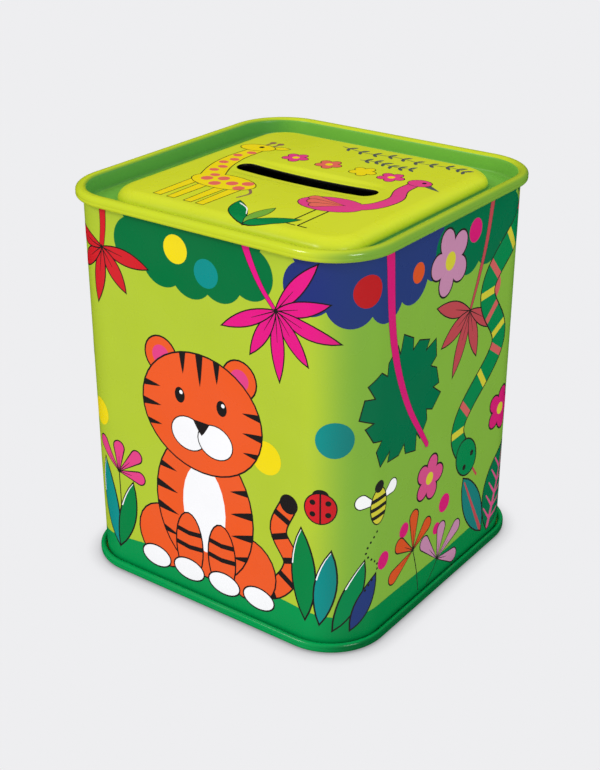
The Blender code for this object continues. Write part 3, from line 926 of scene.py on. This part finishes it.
def make_top_end():
    """The pressed top end: slot, dish, raised panel, channel and seam."""
    shift = WIDTH  # sets the slot's points apart from the panel's, at negative distances
    shoulder, channel = panel_edge()
    slot, edge = slot_edge(), end_edge()
    middle = [(out - shift, z) for out, z in slot] + shoulder + channel + edge
    loops = []
    for x, z in both_sides(middle):
        if x < 0:
            out = x + shift
            half_x, half_y, radius = SLOT_LENGTH / 2 + out, SLOT_WIDTH / 2 + out, SLOT_CORNER_R + out
        else:
            out = math.inf
            half_x, half_y, radius = x, x, end_corner_radius(x, PANEL_HALF, PANEL_CORNER_R)
        loop = with_side_points(rounded_rectangle(half_x, half_y, radius, HEIGHT + z))
        for point in loop:
            point.z += dish_depth(0, out) - dish_depth(point.x, out)
        loops.append(loop)
    turned_down = 1 + BEND_STEPS // 2
    onto_rim = 3  # points of the seam's edge that the channel's green still covers
    # Slot 3, the near-black tin, is painted shade on the slot's lip and all over the lid's underside.
    slots = sheet_slots(
        (3, turned_down),
        (0, len(slot) - turned_down + len(shoulder)),
        (1, len(channel) + onto_rim),
        (2, len(edge) - onto_rim),
    )
    return put_in_scene("lid", skinned(loops, True, slots))


def make_base_end():
    """The pressed base end: the stopper's hole, a stiffening ring, a deep recess and the seam."""
    floor_mid = BASE_RECESS + SHEET / 2
    hole_mid = HOLE_R + SHEET / 2
    lip = [(hole_mid, floor_mid + HOLE_LIP_HEIGHT)]
    lip += arc((hole_mid + HOLE_LIP_R, floor_mid + HOLE_LIP_R), HOLE_LIP_R, 180, 270, BEND_STEPS)
    ring = []
    for step in range(-SLOPE_STEPS, SLOPE_STEPS + 1):
        share = step / SLOPE_STEPS
        rise = RING_RISE * (1 + math.cos(math.pi * share)) / 2
        ring.append((RING_R + RING_SLOPE * share, floor_mid + rise))
    turn = arc((CHUCK_MID - CHUCK_FILLET, floor_mid - CHUCK_FILLET), CHUCK_FILLET, 90, 0, BEND_STEPS)
    edge = [(x, -z) for x, z in end_edge()]
    round_to = RING_R + RING_SLOPE + SHEET
    loops = []
    for x, z in both_sides(lip + ring + turn + edge):
        radius = x - ROUND_FLAT if x < round_to else end_corner_radius(x, round_to, round_to)
        loops.append(rounded_rectangle(x, x, radius, z))
    shown = len(lip) + len(ring) + len(turn) + len(edge)
    slots = [1] * shown + [0] * shown
    return put_in_scene("base", skinned(loops, True, slots))


def wall_loop(half, z, inner, locked):
    """One loop round the wall. Where locked, its inner face steps in and its outer face has a groove."""
    edge = LOCK_SEAM_WIDTH / 2
    if inner:
        depth = LOCK_SEAM_DEPTH if locked else 0
        seam = ((edge + LOCK_SEAM_EDGE, 0), (edge, depth), (-edge, depth), (-edge - LOCK_SEAM_EDGE, 0))
    else:
        depth = LOCK_GROOVE_DEPTH if locked else 0
        half_groove = LOCK_GROOVE_WIDTH / 2
        seam = ((edge + half_groove, 0), (edge, depth), (edge - half_groove, 0), (-edge, 0))
    points = rounded_rectangle(half, half, WALL_CORNER_R - (WALL_HALF - half), z)
    first_corner = CORNER_STEPS + 1
    across_back = [Vector((x, half - step_in, z)) for x, step_in in seam]
    return points[:first_corner] + across_back + points[first_corner:]


def make_wall():
    """The printed wall, one sheet wrapped round and locked at the back, with a hook along each edge."""
    top = [(x, HEIGHT + z) for x, z in reversed(wall_edge())]
    bottom = [(x, -z) for x, z in wall_edge()]
    low, high = LOCK_SEAM_END, HEIGHT - LOCK_SEAM_END
    lock_ends = [high, high - LOCK_SEAM_EDGE, low + LOCK_SEAM_EDGE, low]
    middle = top + [(WALL_MID, z) for z in lock_ends] + bottom
    loops = []
    slots = []
    for x, z in both_sides(middle):
        locked = low + LOCK_SEAM_EDGE / 2 < z < high - LOCK_SEAM_EDGE / 2
        loops.append(wall_loop(x, z, x < WALL_MID, locked))
        slots.append(1 if x < WALL_MID else 0)
    return put_in_scene("wall", skinned(loops, True, slots))


# ---- moulded plastic -----------------------------------------------------------------------------------


def rounded_profile(corners, steps=4):
    """A profile through (radius, height, fillet) corners, with each fillet as an arc."""
    points = []
    before, after = corners[-1:] + corners[:-1], corners[1:] + corners[:1]
    for (x0, z0, _), (x1, z1, fillet), (x2, z2, _) in zip(before, corners, after):
        here = Vector((x1, z1))
        back = (Vector((x0, z0)) - here).normalized()
        ahead = (Vector((x2, z2)) - here).normalized()
        if not fillet:
            points.append(tuple(here))
            continue
        for i in range(steps + 1):
            t = i / steps
            points.append(tuple(here + back * fillet * (1 - t) ** 2 + ahead * fillet * t**2))
    return points


def make_stopper():
    """The moulded stopper: a flange, a skirt with a snap bead, a web, and the tab's pocket below the web."""
    flange_top = STOPPER_FACE + STOPPER_THICK
    web_low = flange_top + WEB_RISE
    skirt_r = SNAP_R - SNAP_STAND
    corners = [
        (0.0, web_low, 0),
        (POCKET_R, web_low, 0.4),
        (POCKET_R, STOPPER_FACE, 0.35),
        (STOPPER_R, STOPPER_FACE, 0.6),
        (STOPPER_R, flange_top, 0.15),
        (skirt_r, flange_top, 0.1),
        (skirt_r, flange_top + SNAP_LOW - SNAP_SLOPE, 0.15),
        (SNAP_R, flange_top + SNAP_LOW, 0.15),
        (SNAP_R, flange_top + SNAP_HIGH, 0.15),
        (skirt_r - SKIRT_TAPER, flange_top + SKIRT_HEIGHT, 0.2),
        (skirt_r - SKIRT_THICK, flange_top + SKIRT_HEIGHT, 0.2),
        (skirt_r - SKIRT_THICK, web_low + WEB_THICK, 0.3),
        (0.0, web_low + WEB_THICK, 0),
    ]
    profile = [point for point in rounded_profile(corners) if point[0] > 0]
    plug = put_in_scene("stopper_plug", skinned([circle(radius, z) for radius, z in profile], False))
    start = math.degrees(math.acos(LAND_X / LAND_R))
    low, high = STOPPER_FACE + LAND_SET_BACK, web_low + LAND_ROOT
    rows = []
    heights = [(inset, low + rise) for inset, rise in ROUNDED_EDGE] + [(0, high)]
    for inset, z in heights:
        outline = arc((0, 0), LAND_R, start, 360 - start, 2 * ROUND_STEPS)
        rows.append(level([(min(x, LAND_X - inset), y) for x, y in outline], z))
    land = put_in_scene("hinge_land_cutter", skinned(rows, False))
    join = plug.modifiers.new("hinge_land", "BOOLEAN")
    join.operation = "UNION"
    join.object = land
    return settled(plug, land)


def settled(obj, helper):
    """Applies obj's modifiers to its mesh and removes the helper."""
    graph = bpy.context.evaluated_depsgraph_get()
    mesh = bpy.data.meshes.new_from_object(obj.evaluated_get(graph))
    obj.modifiers.clear()
    obj.data = mesh
    mesh.shade_smooth()
    mesh.set_sharp_from_angle(angle=math.radians(35))
    bpy.data.objects.remove(helper, do_unlink=True)
    return obj


def tab_loop(inset, z):
    """Outline of the lift tab at height z: square at its hinge and round at its tip."""
    half_width = TAB_HALF_WIDTH - inset
    hinge_x = TAB_HINGE_X + inset
    tip = arc((TAB_TIP_X - TAB_HALF_WIDTH, 0), half_width, -90, 90, 32)
    return level([(hinge_x, half_width), (hinge_x, -half_width), *tip], z)


def rib_loop(centre_x, inset, z):
    """A round-ended bar across the tab at this x."""
    half = RIB_WIDTH / 2 - inset
    reach = RIB_HALF_LENGTH - RIB_WIDTH / 2
    ends = arc((centre_x, reach), half, 0, 180, 10) + arc((centre_x, -reach), half, 180, 360, 10)
    return level(ends, z)


def make_pull_tab():
    """The lift tab, a flat tongue with grip ribs across it."""
    top = TAB_FACE + TAB_THICK
    r = TAB_EDGE_R
    rows = []
    for i in range(5):
        a = math.radians(90 * i / 4)
        rows.append(tab_loop(r * (1 - math.sin(a)), TAB_FACE + r * (1 - math.cos(a))))
    for i in range(5):
        a = math.radians(90 * i / 4)
        rows.append(tab_loop(r * (1 - math.cos(a)), top - r * (1 - math.sin(a))))
    bm = skinned(rows, False)
    for i in range(RIB_COUNT):
        x = RIB_FIRST_X + RIB_PITCH * i
        low = TAB_FACE - RIB_STAND
        bars = [rib_loop(x, inset, low + rise) for inset, rise in ROUNDED_EDGE]
        bars.append(rib_loop(x, -0.1, TAB_FACE + 0.05))
        rib = skinned(bars, False)
        merged = bpy.data.meshes.new("rib")
        rib.to_mesh(merged)
        rib.free()
        bm.from_mesh(merged)
        bpy.data.meshes.remove(merged)
    return put_in_scene("lift_tab", bm)

# ---- ink films -----------------------------------------------------------------------------------------


def inside(points, outline):
    """Which points lie inside the outline, by its winding number."""
    winding = np.zeros(len(points), int)
    x, y = points[:, 0], points[:, 1]
    for (x0, y0), (x1, y1) in zip(outline, np.roll(outline, -1, axis=0)):
        turn = (x1 - x0) * (y - y0) - (x - x0) * (y1 - y0)
        winding += (y0 <= y) & (y1 > y) & (turn > 0)
        winding -= (y0 > y) & (y1 <= y) & (turn < 0)
    return winding != 0


def split(art, guides):
    """Cuts the plane along every outline and guide line: (corner points, triangles, ink of each triangle)."""
    points, edges = [], []
    outlines = [outline for _, outline, _ in art.layers]
    outlines += [np.array(clip) for _, _, clip in art.layers if clip is not None]
    for outline in outlines:
        first = len(points)
        count = len(outline)
        points += [Vector(p) for p in outline]
        edges += [(first + i, first + (i + 1) % count) for i in range(count)]
    for line in guides:
        first = len(points)
        points += [Vector(p) for p in line]
        edges += [(first + i, first + i + 1) for i in range(len(line) - 1)]
    corners, _, faces, _, _, _ = delaunay_2d_cdt(points, edges, [], 0, 1e-5, False)
    corners = np.array(corners)
    faces = np.array(faces)
    centres = corners[faces].mean(axis=1)
    inks = np.full(len(faces), -1)
    names = list(INKS)
    for ink, outline, clip in art.layers:
        low, high = outline.min(axis=0), outline.max(axis=0)
        near = np.flatnonzero(((centres > low) & (centres < high)).all(axis=1))
        near = near[inside(centres[near], outline)]
        if clip is not None:
            near = near[inside(centres[near], np.array(clip))]
        inks[near] = names.index(ink)
    return corners, faces, inks


def wall_point(u, z):
    """A place on the wall and its outward direction, from the distance u round the can from the front."""
    side = np.floor((u + SIDE_PITCH / 2) / SIDE_PITCH)
    along = u - side * SIDE_PITCH
    past = np.clip(np.abs(along) - STRAIGHT, 0, None)
    turn = np.sign(along) * past / WALL_CORNER_R
    across = np.clip(along, -STRAIGHT, STRAIGHT) + (WALL_CORNER_R + FILM) * np.sin(turn)
    outward = STRAIGHT + (WALL_CORNER_R + FILM) * np.cos(turn)
    heading = side * math.pi / 2
    x = across * np.cos(heading) + outward * np.sin(heading)
    y = across * np.sin(heading) - outward * np.cos(heading)
    normals = np.c_[np.sin(heading + turn), -np.cos(heading + turn), np.zeros(len(u))]
    return np.c_[x, y, z], normals


def wall_guides():
    """Lines up each corner of the wall, where its facets meet, and the printed area's edges."""
    ends = (-2 * SIDE_PITCH + BACK_MARGIN, 2 * SIDE_PITCH - BACK_MARGIN)
    lines = [[(u, PRINT_LOW), (u, PRINT_HIGH)] for u in ends]
    lines += [[(ends[0], z), (ends[1], z)] for z in (PRINT_LOW, PRINT_HIGH)]
    for corner in range(-2, 2):
        for step in range(CORNER_STEPS + 1):
            u = corner * SIDE_PITCH + STRAIGHT + CORNER_ARC * step / CORNER_STEPS
            lines.append([(u, PRINT_LOW), (u, PRINT_HIGH)])
    return lines


def loop_distance(x, y, half_x, half_y, radius):
    """How far outside a rounded rectangle each point lies."""
    dx = np.abs(x) - half_x + radius
    dy = np.abs(y) - half_y + radius
    return np.hypot(np.clip(dx, 0, None), np.clip(dy, 0, None)) + np.clip(np.maximum(dx, dy), None,
        0) - radius


def lid_point(x, y):
    """A place on the lid and its outward direction: the raised panel, the slot's dish and the shoulder."""

    def height(x, y):
        out = loop_distance(x, y, SLOT_LENGTH / 2, SLOT_WIDTH / 2, SLOT_CORNER_R)
        z = HEIGHT - PANEL_DROP - dish_depth(x, out)
        past = np.clip(loop_distance(x, y, PANEL_HALF, PANEL_HALF, PANEL_CORNER_R), 0, SHOULDER_WIDTH)
        share = past / (SHOULDER_WIDTH + SHEET / 2)
        return z - (SHOULDER_DROP + SHEET / 2) * (1 - np.sqrt(1 - share**2))

    step = 0.02  # short enough to read the slope by
    slope_x = (height(x + step, y) - height(x - step, y)) / (2 * step)
    slope_y = (height(x, y + step) - height(x, y - step)) / (2 * step)
    normals = np.c_[-slope_x, -slope_y, np.ones(len(x))]
    normals /= np.linalg.norm(normals, axis=1)[:, None]
    return np.c_[x, y, height(x, y)] + normals * FILM, normals


def lid_guides():
    """Loops where the dish and the shoulder bend."""
    loops = []
    for out, _ in slot_edge()[-SLOPE_STEPS - 1:]:
        loops.append(rounded_rectangle(SLOT_LENGTH / 2 + out, SLOT_WIDTH / 2 + out, SLOT_CORNER_R + out,
            0))
    for x, _ in panel_edge()[0][:-3]:
        loops.append(rounded_rectangle(x, x, PANEL_CORNER_R + x - PANEL_HALF, 0))
    return [[(p.x, p.y) for p in [*loop, loop[0]]] for loop in loops]


def on_wall_print(centres):
    """Which places (u, z) lie in the wall's printed area."""
    u, z = centres[:, 0], centres[:, 1]
    return (np.abs(u) < 2 * SIDE_PITCH - BACK_MARGIN) & (z > PRINT_LOW) & (z < PRINT_HIGH)


def on_lid_print(centres):
    """Which places (x, y) lie on the raised panel or the upper part of its shoulder."""
    out = loop_distance(centres[:, 0], centres[:, 1], PANEL_HALF, PANEL_HALF, PANEL_CORNER_R)
    return out < SHOULDER_WIDTH * LID_PRINT_SHARE


def film_parts():
    """For each ink, its triangles on the wall and on the lid: (points, normals, triangles) in one mesh."""
    parts = {ink: [] for ink in INKS}
    surfaces = (
        (wall_print(), wall_guides(), wall_point, on_wall_print),
        (lid_print(), lid_guides(), lid_point, on_lid_print),
    )
    for art, guides, place, shown in surfaces:
        corners, faces, inks = split(art, guides)
        keep = shown(corners[faces].mean(axis=1))
        for index, ink in enumerate(INKS):
            mine = faces[(inks == index) & keep]
            if len(mine):
                used, mine = np.unique(mine, return_inverse=True)
                points, normals = place(corners[used, 0], corners[used, 1])
                parts[ink].append((points, normals, mine.reshape(-1, 3)))
    return parts


def make_films():
    """One thin film of each ink."""
    films = {}
    for ink, pieces in film_parts().items():
        if not pieces:
            continue
        starts = np.cumsum([0] + [len(points) for points, _, _ in pieces[:-1]])
        points = np.vstack([piece[0] for piece in pieces]) * MM
        normals = np.vstack([piece[1] for piece in pieces])
        faces = np.vstack([piece[2] + start for piece, start in zip(pieces, starts)])
        corners = points[faces]
        facing = np.cross(corners[:, 1] - corners[:, 0], corners[:, 2] - corners[:, 0])
        wrong = (facing * normals[faces[:, 0]]).sum(axis=1) < 0
        faces[wrong] = faces[wrong][:, ::-1]
        name = "print_" + ink.replace(" ", "_")
        mesh = bpy.data.meshes.new(name)
        mesh.from_pydata(points.tolist(), [], faces.tolist())
        mesh.shade_smooth()
        mesh.normals_split_custom_set_from_vertices(normals.tolist())
        films[ink] = bpy.data.objects.new(name, mesh)
        bpy.context.scene.collection.objects.link(films[ink])
    return films

# ---- looks: colours in sRGB from 0 to 255, and places in metres ----------------------------------------

# Each pair is the colour towards the front, then a darker painted shade of it towards +X.
CHANNEL_GREEN = ((120, 188, 70), (86, 158, 68))
RIM_LIME = ((202, 217, 42), (120, 166, 56))
BASE_GREEN = ((0, 158, 80), (0, 96, 46))
# Painted light: a lighter lime for the raised panel's shoulder where it faces +X.
SHOULDER_PAINTED_LIGHT = (222, 232, 46)

GLOSS = 0.32
PRINT_ROUGHNESS = 0.26
LACQUER_ROUGHNESS = 0.28
RIM_FINISH = (0.15, 0.7, 0.4)  # roughness, gloss and how much painted shade the crest takes along +X
BASE_FINISH = (0.2, 0.5)  # roughness and gloss
PAINTED_SHADE_START_X, PAINTED_SHADE_END_X = 0.12, 0.92  # the normal's X where the painted shade towards +X begins and is complete
# The normal's X where the raised panel's painted light and shade towards +X begin and are complete.
PANEL_LIGHT_SHADE_START_X, PANEL_LIGHT_SHADE_END_X = 0.35, 0.8
SHOULDER_FOOT_Z, SHOULDER_TOP_Z = 0.0944, 0.0959  # between them the shoulder turns from green to lime
CREST_SHADE_START_X, CREST_SHADE_END_X = 0.0310, 0.0420  # between them a bead's crest takes on its painted shade, along the +X side

BACKDROP = (238, 238, 240)
SHADOW_COLOUR = (60, 62, 66)
SHADOW_REACH = 0.007
SHADOW_DEPTH = (0.35, 0.95, 0.38,
    1.0)  # open sky from 0.35 to 0.95 gives from 0.38 to all of the backdrop
FLOOR_REACH = 3.0

# Each lamp: its place, its side and its power in watts.
KEY_LAMP = ((-0.40, -0.80, 0.80), 0.22, 2.6)
FILL_LAMP = ((0.85, -0.30, 0.45), 0.3, 1.9)
CAMERA_LENS = 64.15
CAMERA_SENSOR = 36
CAMERA_PLACE = (0.18368, -0.25379, 0.19465)
CAMERA_BACK = (0.53134, -0.72762, 0.43386)  # the way from the view's middle to the camera


# ---- materials -----------------------------------------------------------------------------------------


def linear(colour):
    """An sRGB colour, 0 to 255, as Blender's linear values."""
    return [c / 255 / 12.92 if c <= 10 else ((c / 255 + 0.055) / 1.055) ** 2.4 for c in colour]


class Nodes:
    """Short ways to build a material's node tree."""

    def __init__(self, name):
        self.material = bpy.data.materials.new(name)
        self.material.use_nodes = True
        self.tree = self.material.node_tree
        self.shader = self.tree.nodes["Principled BSDF"]
        self.object = self.add("ShaderNodeTexCoord")

    def add(self, kind, **settings):
        node = self.tree.nodes.new(kind)
        for key, value in settings.items():
            setattr(node, key, value)
        return node

    def link(self, source, target):
        self.tree.links.new(source, target)

    def noise(self, scale, detail=3.0, stretch=None):
        """Noise of scale features per metre, over the object's own coordinates."""
        node = self.add("ShaderNodeTexNoise")
        node.inputs["Scale"].default_value = scale
        node.inputs["Detail"].default_value = detail
        source = self.object.outputs["Object"]
        if stretch:
            mapping = self.add("ShaderNodeMapping")
            mapping.inputs["Scale"].default_value = stretch
            self.link(source, mapping.inputs["Vector"])
            source = mapping.outputs["Vector"]
        self.link(source, node.inputs["Vector"])
        return node.outputs["Fac"]

    def ranged(self, value, low, high, to_low, to_high, smooth=False):
        node = self.add("ShaderNodeMapRange")
        if smooth:
            node.interpolation_type = "SMOOTHSTEP"
        for key, number in (("From Min", low), ("From Max", high), ("To Min", to_low),
                ("To Max", to_high)):
            node.inputs[key].default_value = number
        self.link(value, node.inputs["Value"])
        return node.outputs["Result"]

    def mixed(self, factor, first, second):
        """A mix of two colours, each given as a colour or as another node's output, by the factor output."""
        node = self.add("ShaderNodeMix", data_type="RGBA")
        self.link(factor, node.inputs["Factor"])
        for value, socket in ((first, node.inputs[6]), (second, node.inputs[7])):
            if isinstance(value, bpy.types.NodeSocket):
                self.link(value, socket)
            else:
                socket.default_value = (*value, 1)
        return node.outputs[2]

    def axis(self, output, name):
        node = self.add("ShaderNodeSeparateXYZ")
        self.link(self.object.outputs[output], node.inputs["Vector"])
        return node.outputs[name]

    def shaded(self, colour, roughness, mottle=0.06, mottle_scale=70):
        """Sends the colour, slightly mottled, and an uneven roughness to the shader."""
        patches = self.ranged(self.noise(mottle_scale), 0.3, 0.7, 1 - mottle, 1 + mottle)
        tint = self.add("ShaderNodeHueSaturation")
        self.link(colour, tint.inputs["Color"])
        self.link(patches, tint.inputs["Value"])
        self.link(tint.outputs["Color"], self.shader.inputs["Base Color"])
        smears = self.ranged(self.noise(90, 5), 0.3, 0.7, roughness - 0.05, roughness + 0.06)
        self.link(smears, self.shader.inputs["Roughness"])

    def bumped(self, height, distance, strength=1.0):
        node = self.add("ShaderNodeBump")
        node.inputs["Distance"].default_value = distance
        node.inputs["Strength"].default_value = strength
        self.link(height, node.inputs["Height"])
        self.link(node.outputs["Normal"], self.shader.inputs["Normal"])


def lacquer_finish(nodes, gloss=GLOSS):
    """Printed and varnished tin: a gloss that isn't quite even, over a faintly rippled sheet."""
    nodes.shader.inputs["Specular IOR Level"].default_value = gloss
    nodes.bumped(nodes.noise(160, 2), 0.00006, 0.5)


def painted_shade_toward_x(nodes):
    """From 0 to 1 as the surface turns to face +X, where a painted shade is laid over the colour."""
    return nodes.ranged(nodes.axis("Normal", "X"), PAINTED_SHADE_START_X, PAINTED_SHADE_END_X, 0, 1, smooth=True)


def ink_material(ink):
    nodes = Nodes("ink_" + ink.replace(" ", "_"))
    front, side = INKS[ink]
    # Painted shade: where the surface faces +X it takes the ink's shaded copy.
    colour = nodes.mixed(painted_shade_toward_x(nodes), linear(front), linear(side))
    nodes.shaded(colour, PRINT_ROUGHNESS, 0.018)
    lacquer_finish(nodes)
    return nodes.material


def panel_material():
    """The lid's raised panel: lime that turns green at the foot of its shoulder. Where it faces +X the green
    foot takes a painted shade and the lime shoulder a painted light.
    """
    nodes = Nodes("panel_lacquer")
    painted_light_shade_x = nodes.ranged(nodes.axis("Normal", "X"), PANEL_LIGHT_SHADE_START_X, PANEL_LIGHT_SHADE_END_X, 0, 1, smooth=True)
    # Painted shade on the green foot, and painted light on the lime shoulder, where the panel faces +X.
    foot = nodes.mixed(painted_light_shade_x, linear(CHANNEL_GREEN[0]), linear(CHANNEL_GREEN[1]))
    upper = nodes.mixed(painted_light_shade_x, linear(INKS["top lime"][0]), linear(SHOULDER_PAINTED_LIGHT))
    up = nodes.ranged(nodes.axis("Object", "Z"), SHOULDER_FOOT_Z, SHOULDER_TOP_Z, 0, 1, smooth=True)
    nodes.shaded(nodes.mixed(up, foot, upper), LACQUER_ROUGHNESS, 0.015)
    lacquer_finish(nodes)
    return nodes.material


def banded_material(name, colour_and_painted_shade, roughness=LACQUER_ROUGHNESS, gloss=GLOSS, crest_painted_shade=0):
    """Plain lacquer, in one colour towards the front and a darker painted shade of it towards +X. A bead's
    crest faces up all the way round, so the last argument says how much of the painted shade it takes on
    along the +X side."""
    nodes = Nodes(name)
    # Painted shade: along the +X side the crest, though it faces up, darkens by its place on X.
    along = nodes.ranged(nodes.axis("Object", "X"), CREST_SHADE_START_X, CREST_SHADE_END_X, 0, crest_painted_shade,
        smooth=True)
    front = nodes.mixed(along, linear(colour_and_painted_shade[0]), linear(colour_and_painted_shade[1]))
    nodes.shaded(nodes.mixed(painted_shade_toward_x(nodes), front, linear(colour_and_painted_shade[1])), roughness, 0.02)
    lacquer_finish(nodes, gloss)
    return nodes.material


def tin_material(name, dull, bright):
    """Bare tinplate, with the grain of its rolling."""
    nodes = Nodes(name)
    grain = nodes.noise(300, 4, (1, 1, 12))
    nodes.shaded(nodes.mixed(nodes.ranged(grain, 0.3, 0.7, 0, 1), linear(dull), linear(bright)), 0.42,
        0.05)
    nodes.shader.inputs["Metallic"].default_value = 0.9
    nodes.bumped(grain, 0.00004, 0.6)
    return nodes.material


def plastic_material(name, colour, roughness):
    """Moulded polythene: faint clouding, a fine spark-eroded texture and a little light within."""
    nodes = Nodes(name)
    cloud = nodes.ranged(nodes.noise(70, 4), 0.3, 0.7, 0, 1)
    shade = nodes.mixed(cloud, linear(colour), [c * 0.9 for c in linear(colour)])
    nodes.shaded(shade, roughness, 0.03)
    nodes.shader.inputs["Specular IOR Level"].default_value = 0.4
    nodes.shader.inputs["Subsurface Weight"].default_value = 0.15
    nodes.shader.inputs["Subsurface Scale"].default_value = 0.001
    nodes.bumped(nodes.noise(2600, 3), 0.00004, 0.5)
    return nodes.material


def floor_material():
    """A pale studio floor, even all over but for a soft painted contact shadow where the can stands."""
    nodes = Nodes("studio_floor")
    tree = nodes.tree
    near = nodes.add("ShaderNodeAmbientOcclusion", samples=16)
    near.inputs["Distance"].default_value = SHADOW_REACH
    lit = nodes.ranged(near.outputs["AO"], *SHADOW_DEPTH)
    glow = nodes.add("ShaderNodeEmission")
    nodes.link(nodes.mixed(lit, linear(SHADOW_COLOUR), linear(BACKDROP)), glow.inputs["Color"])
    nodes.link(glow.outputs["Emission"], tree.nodes["Material Output"].inputs["Surface"])
    tree.nodes.remove(nodes.shader)
    return nodes.material


# ---- studio --------------------------------------------------------------------------------------------


def make_floor():
    bm = bmesh.new()
    reach = FLOOR_REACH / MM
    corners = ((-1, -1), (1, -1), (1, 1), (-1, 1))
    bm.faces.new([bm.verts.new((x * reach, y * reach, 0)) for x, y in corners])
    floor = put_in_scene("studio_floor", bm)
    floor.data.materials.append(floor_material())
    floor.visible_glossy = False


def soft_light(name, place, size, power):
    """A square lamp that faces the middle of the can."""
    lamp = bpy.data.lights.new(name, "AREA")
    lamp.size = size
    lamp.energy = power
    obj = bpy.data.objects.new(name, lamp)
    obj.location = place
    to_can = Vector((0, 0, HEIGHT * MM / 2)) - obj.location
    obj.rotation_euler = to_can.to_track_quat("-Z", "Y").to_euler()
    bpy.context.scene.collection.objects.link(obj)


def make_lights():
    world = bpy.data.worlds.new("studio")
    world.use_nodes = True
    world.node_tree.nodes["Background"].inputs["Color"].default_value = (*linear(BACKDROP), 1)
    world.node_tree.nodes["Background"].inputs["Strength"].default_value = 1.0
    bpy.context.scene.world = world
    world.cycles_visibility.glossy = False
    soft_light("key", *KEY_LAMP)
    soft_light("fill", *FILL_LAMP)


def make_camera():
    camera = bpy.data.cameras.new("camera")
    camera.lens = CAMERA_LENS
    camera.sensor_width = CAMERA_SENSOR
    obj = bpy.data.objects.new("camera", camera)
    obj.location = CAMERA_PLACE
    obj.rotation_euler = Vector(CAMERA_BACK).to_track_quat("Z", "Y").to_euler()
    bpy.context.scene.collection.objects.link(obj)
    bpy.context.scene.camera = obj


def main():
    bpy.context.scene.view_settings.view_transform = "Standard"
    tin = tin_material("bare_tinplate", (150, 150, 148), (186, 186, 184))
    # Painted shade: near-black tin for the slot's turned-down lip and the lid's underside, so the slot shows
    # as a dark hole.
    slot_lip_painted_dark = tin_material("slot_lip_painted_shade_tin", (40, 40, 39), (62, 62, 60))
    channel = banded_material("channel_lacquer", CHANNEL_GREEN)
    rim = banded_material("rim_lacquer", RIM_LIME, *RIM_FINISH)
    base = banded_material("base_lacquer", BASE_GREEN, *BASE_FINISH)
    stopper_plastic = plastic_material("stopper_plastic", (232, 232, 226), 0.42)
    tab_plastic = plastic_material("tab_plastic", (228, 228, 222), 0.4)
    pieces = (
        (make_wall(), "can", "body_wall", "wall_print", [ink_material("lime"), tin]),
        (make_top_end(), "can", "top_end", "top_print", [panel_material(), channel, rim, slot_lip_painted_dark]),
        (make_base_end(), "can", "base_end", "green_lacquer", [base, tin]),
        (make_stopper(), "stopper_plug", "stopper", "stopper_plastic", [stopper_plastic]),
        (make_pull_tab(), "pull_tab", "stopper_pull_tab", "tab_plastic", [tab_plastic]),
    )
    for piece, body, node, slot, materials in pieces:
        for material in materials:
            piece.data.materials.append(material)
        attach(piece, body)
        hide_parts(node)
    for ink, film in make_films().items():
        film.data.materials.append(ink_material(ink))
        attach(film, "can")
    make_floor()
    make_lights()
    make_camera()


main()
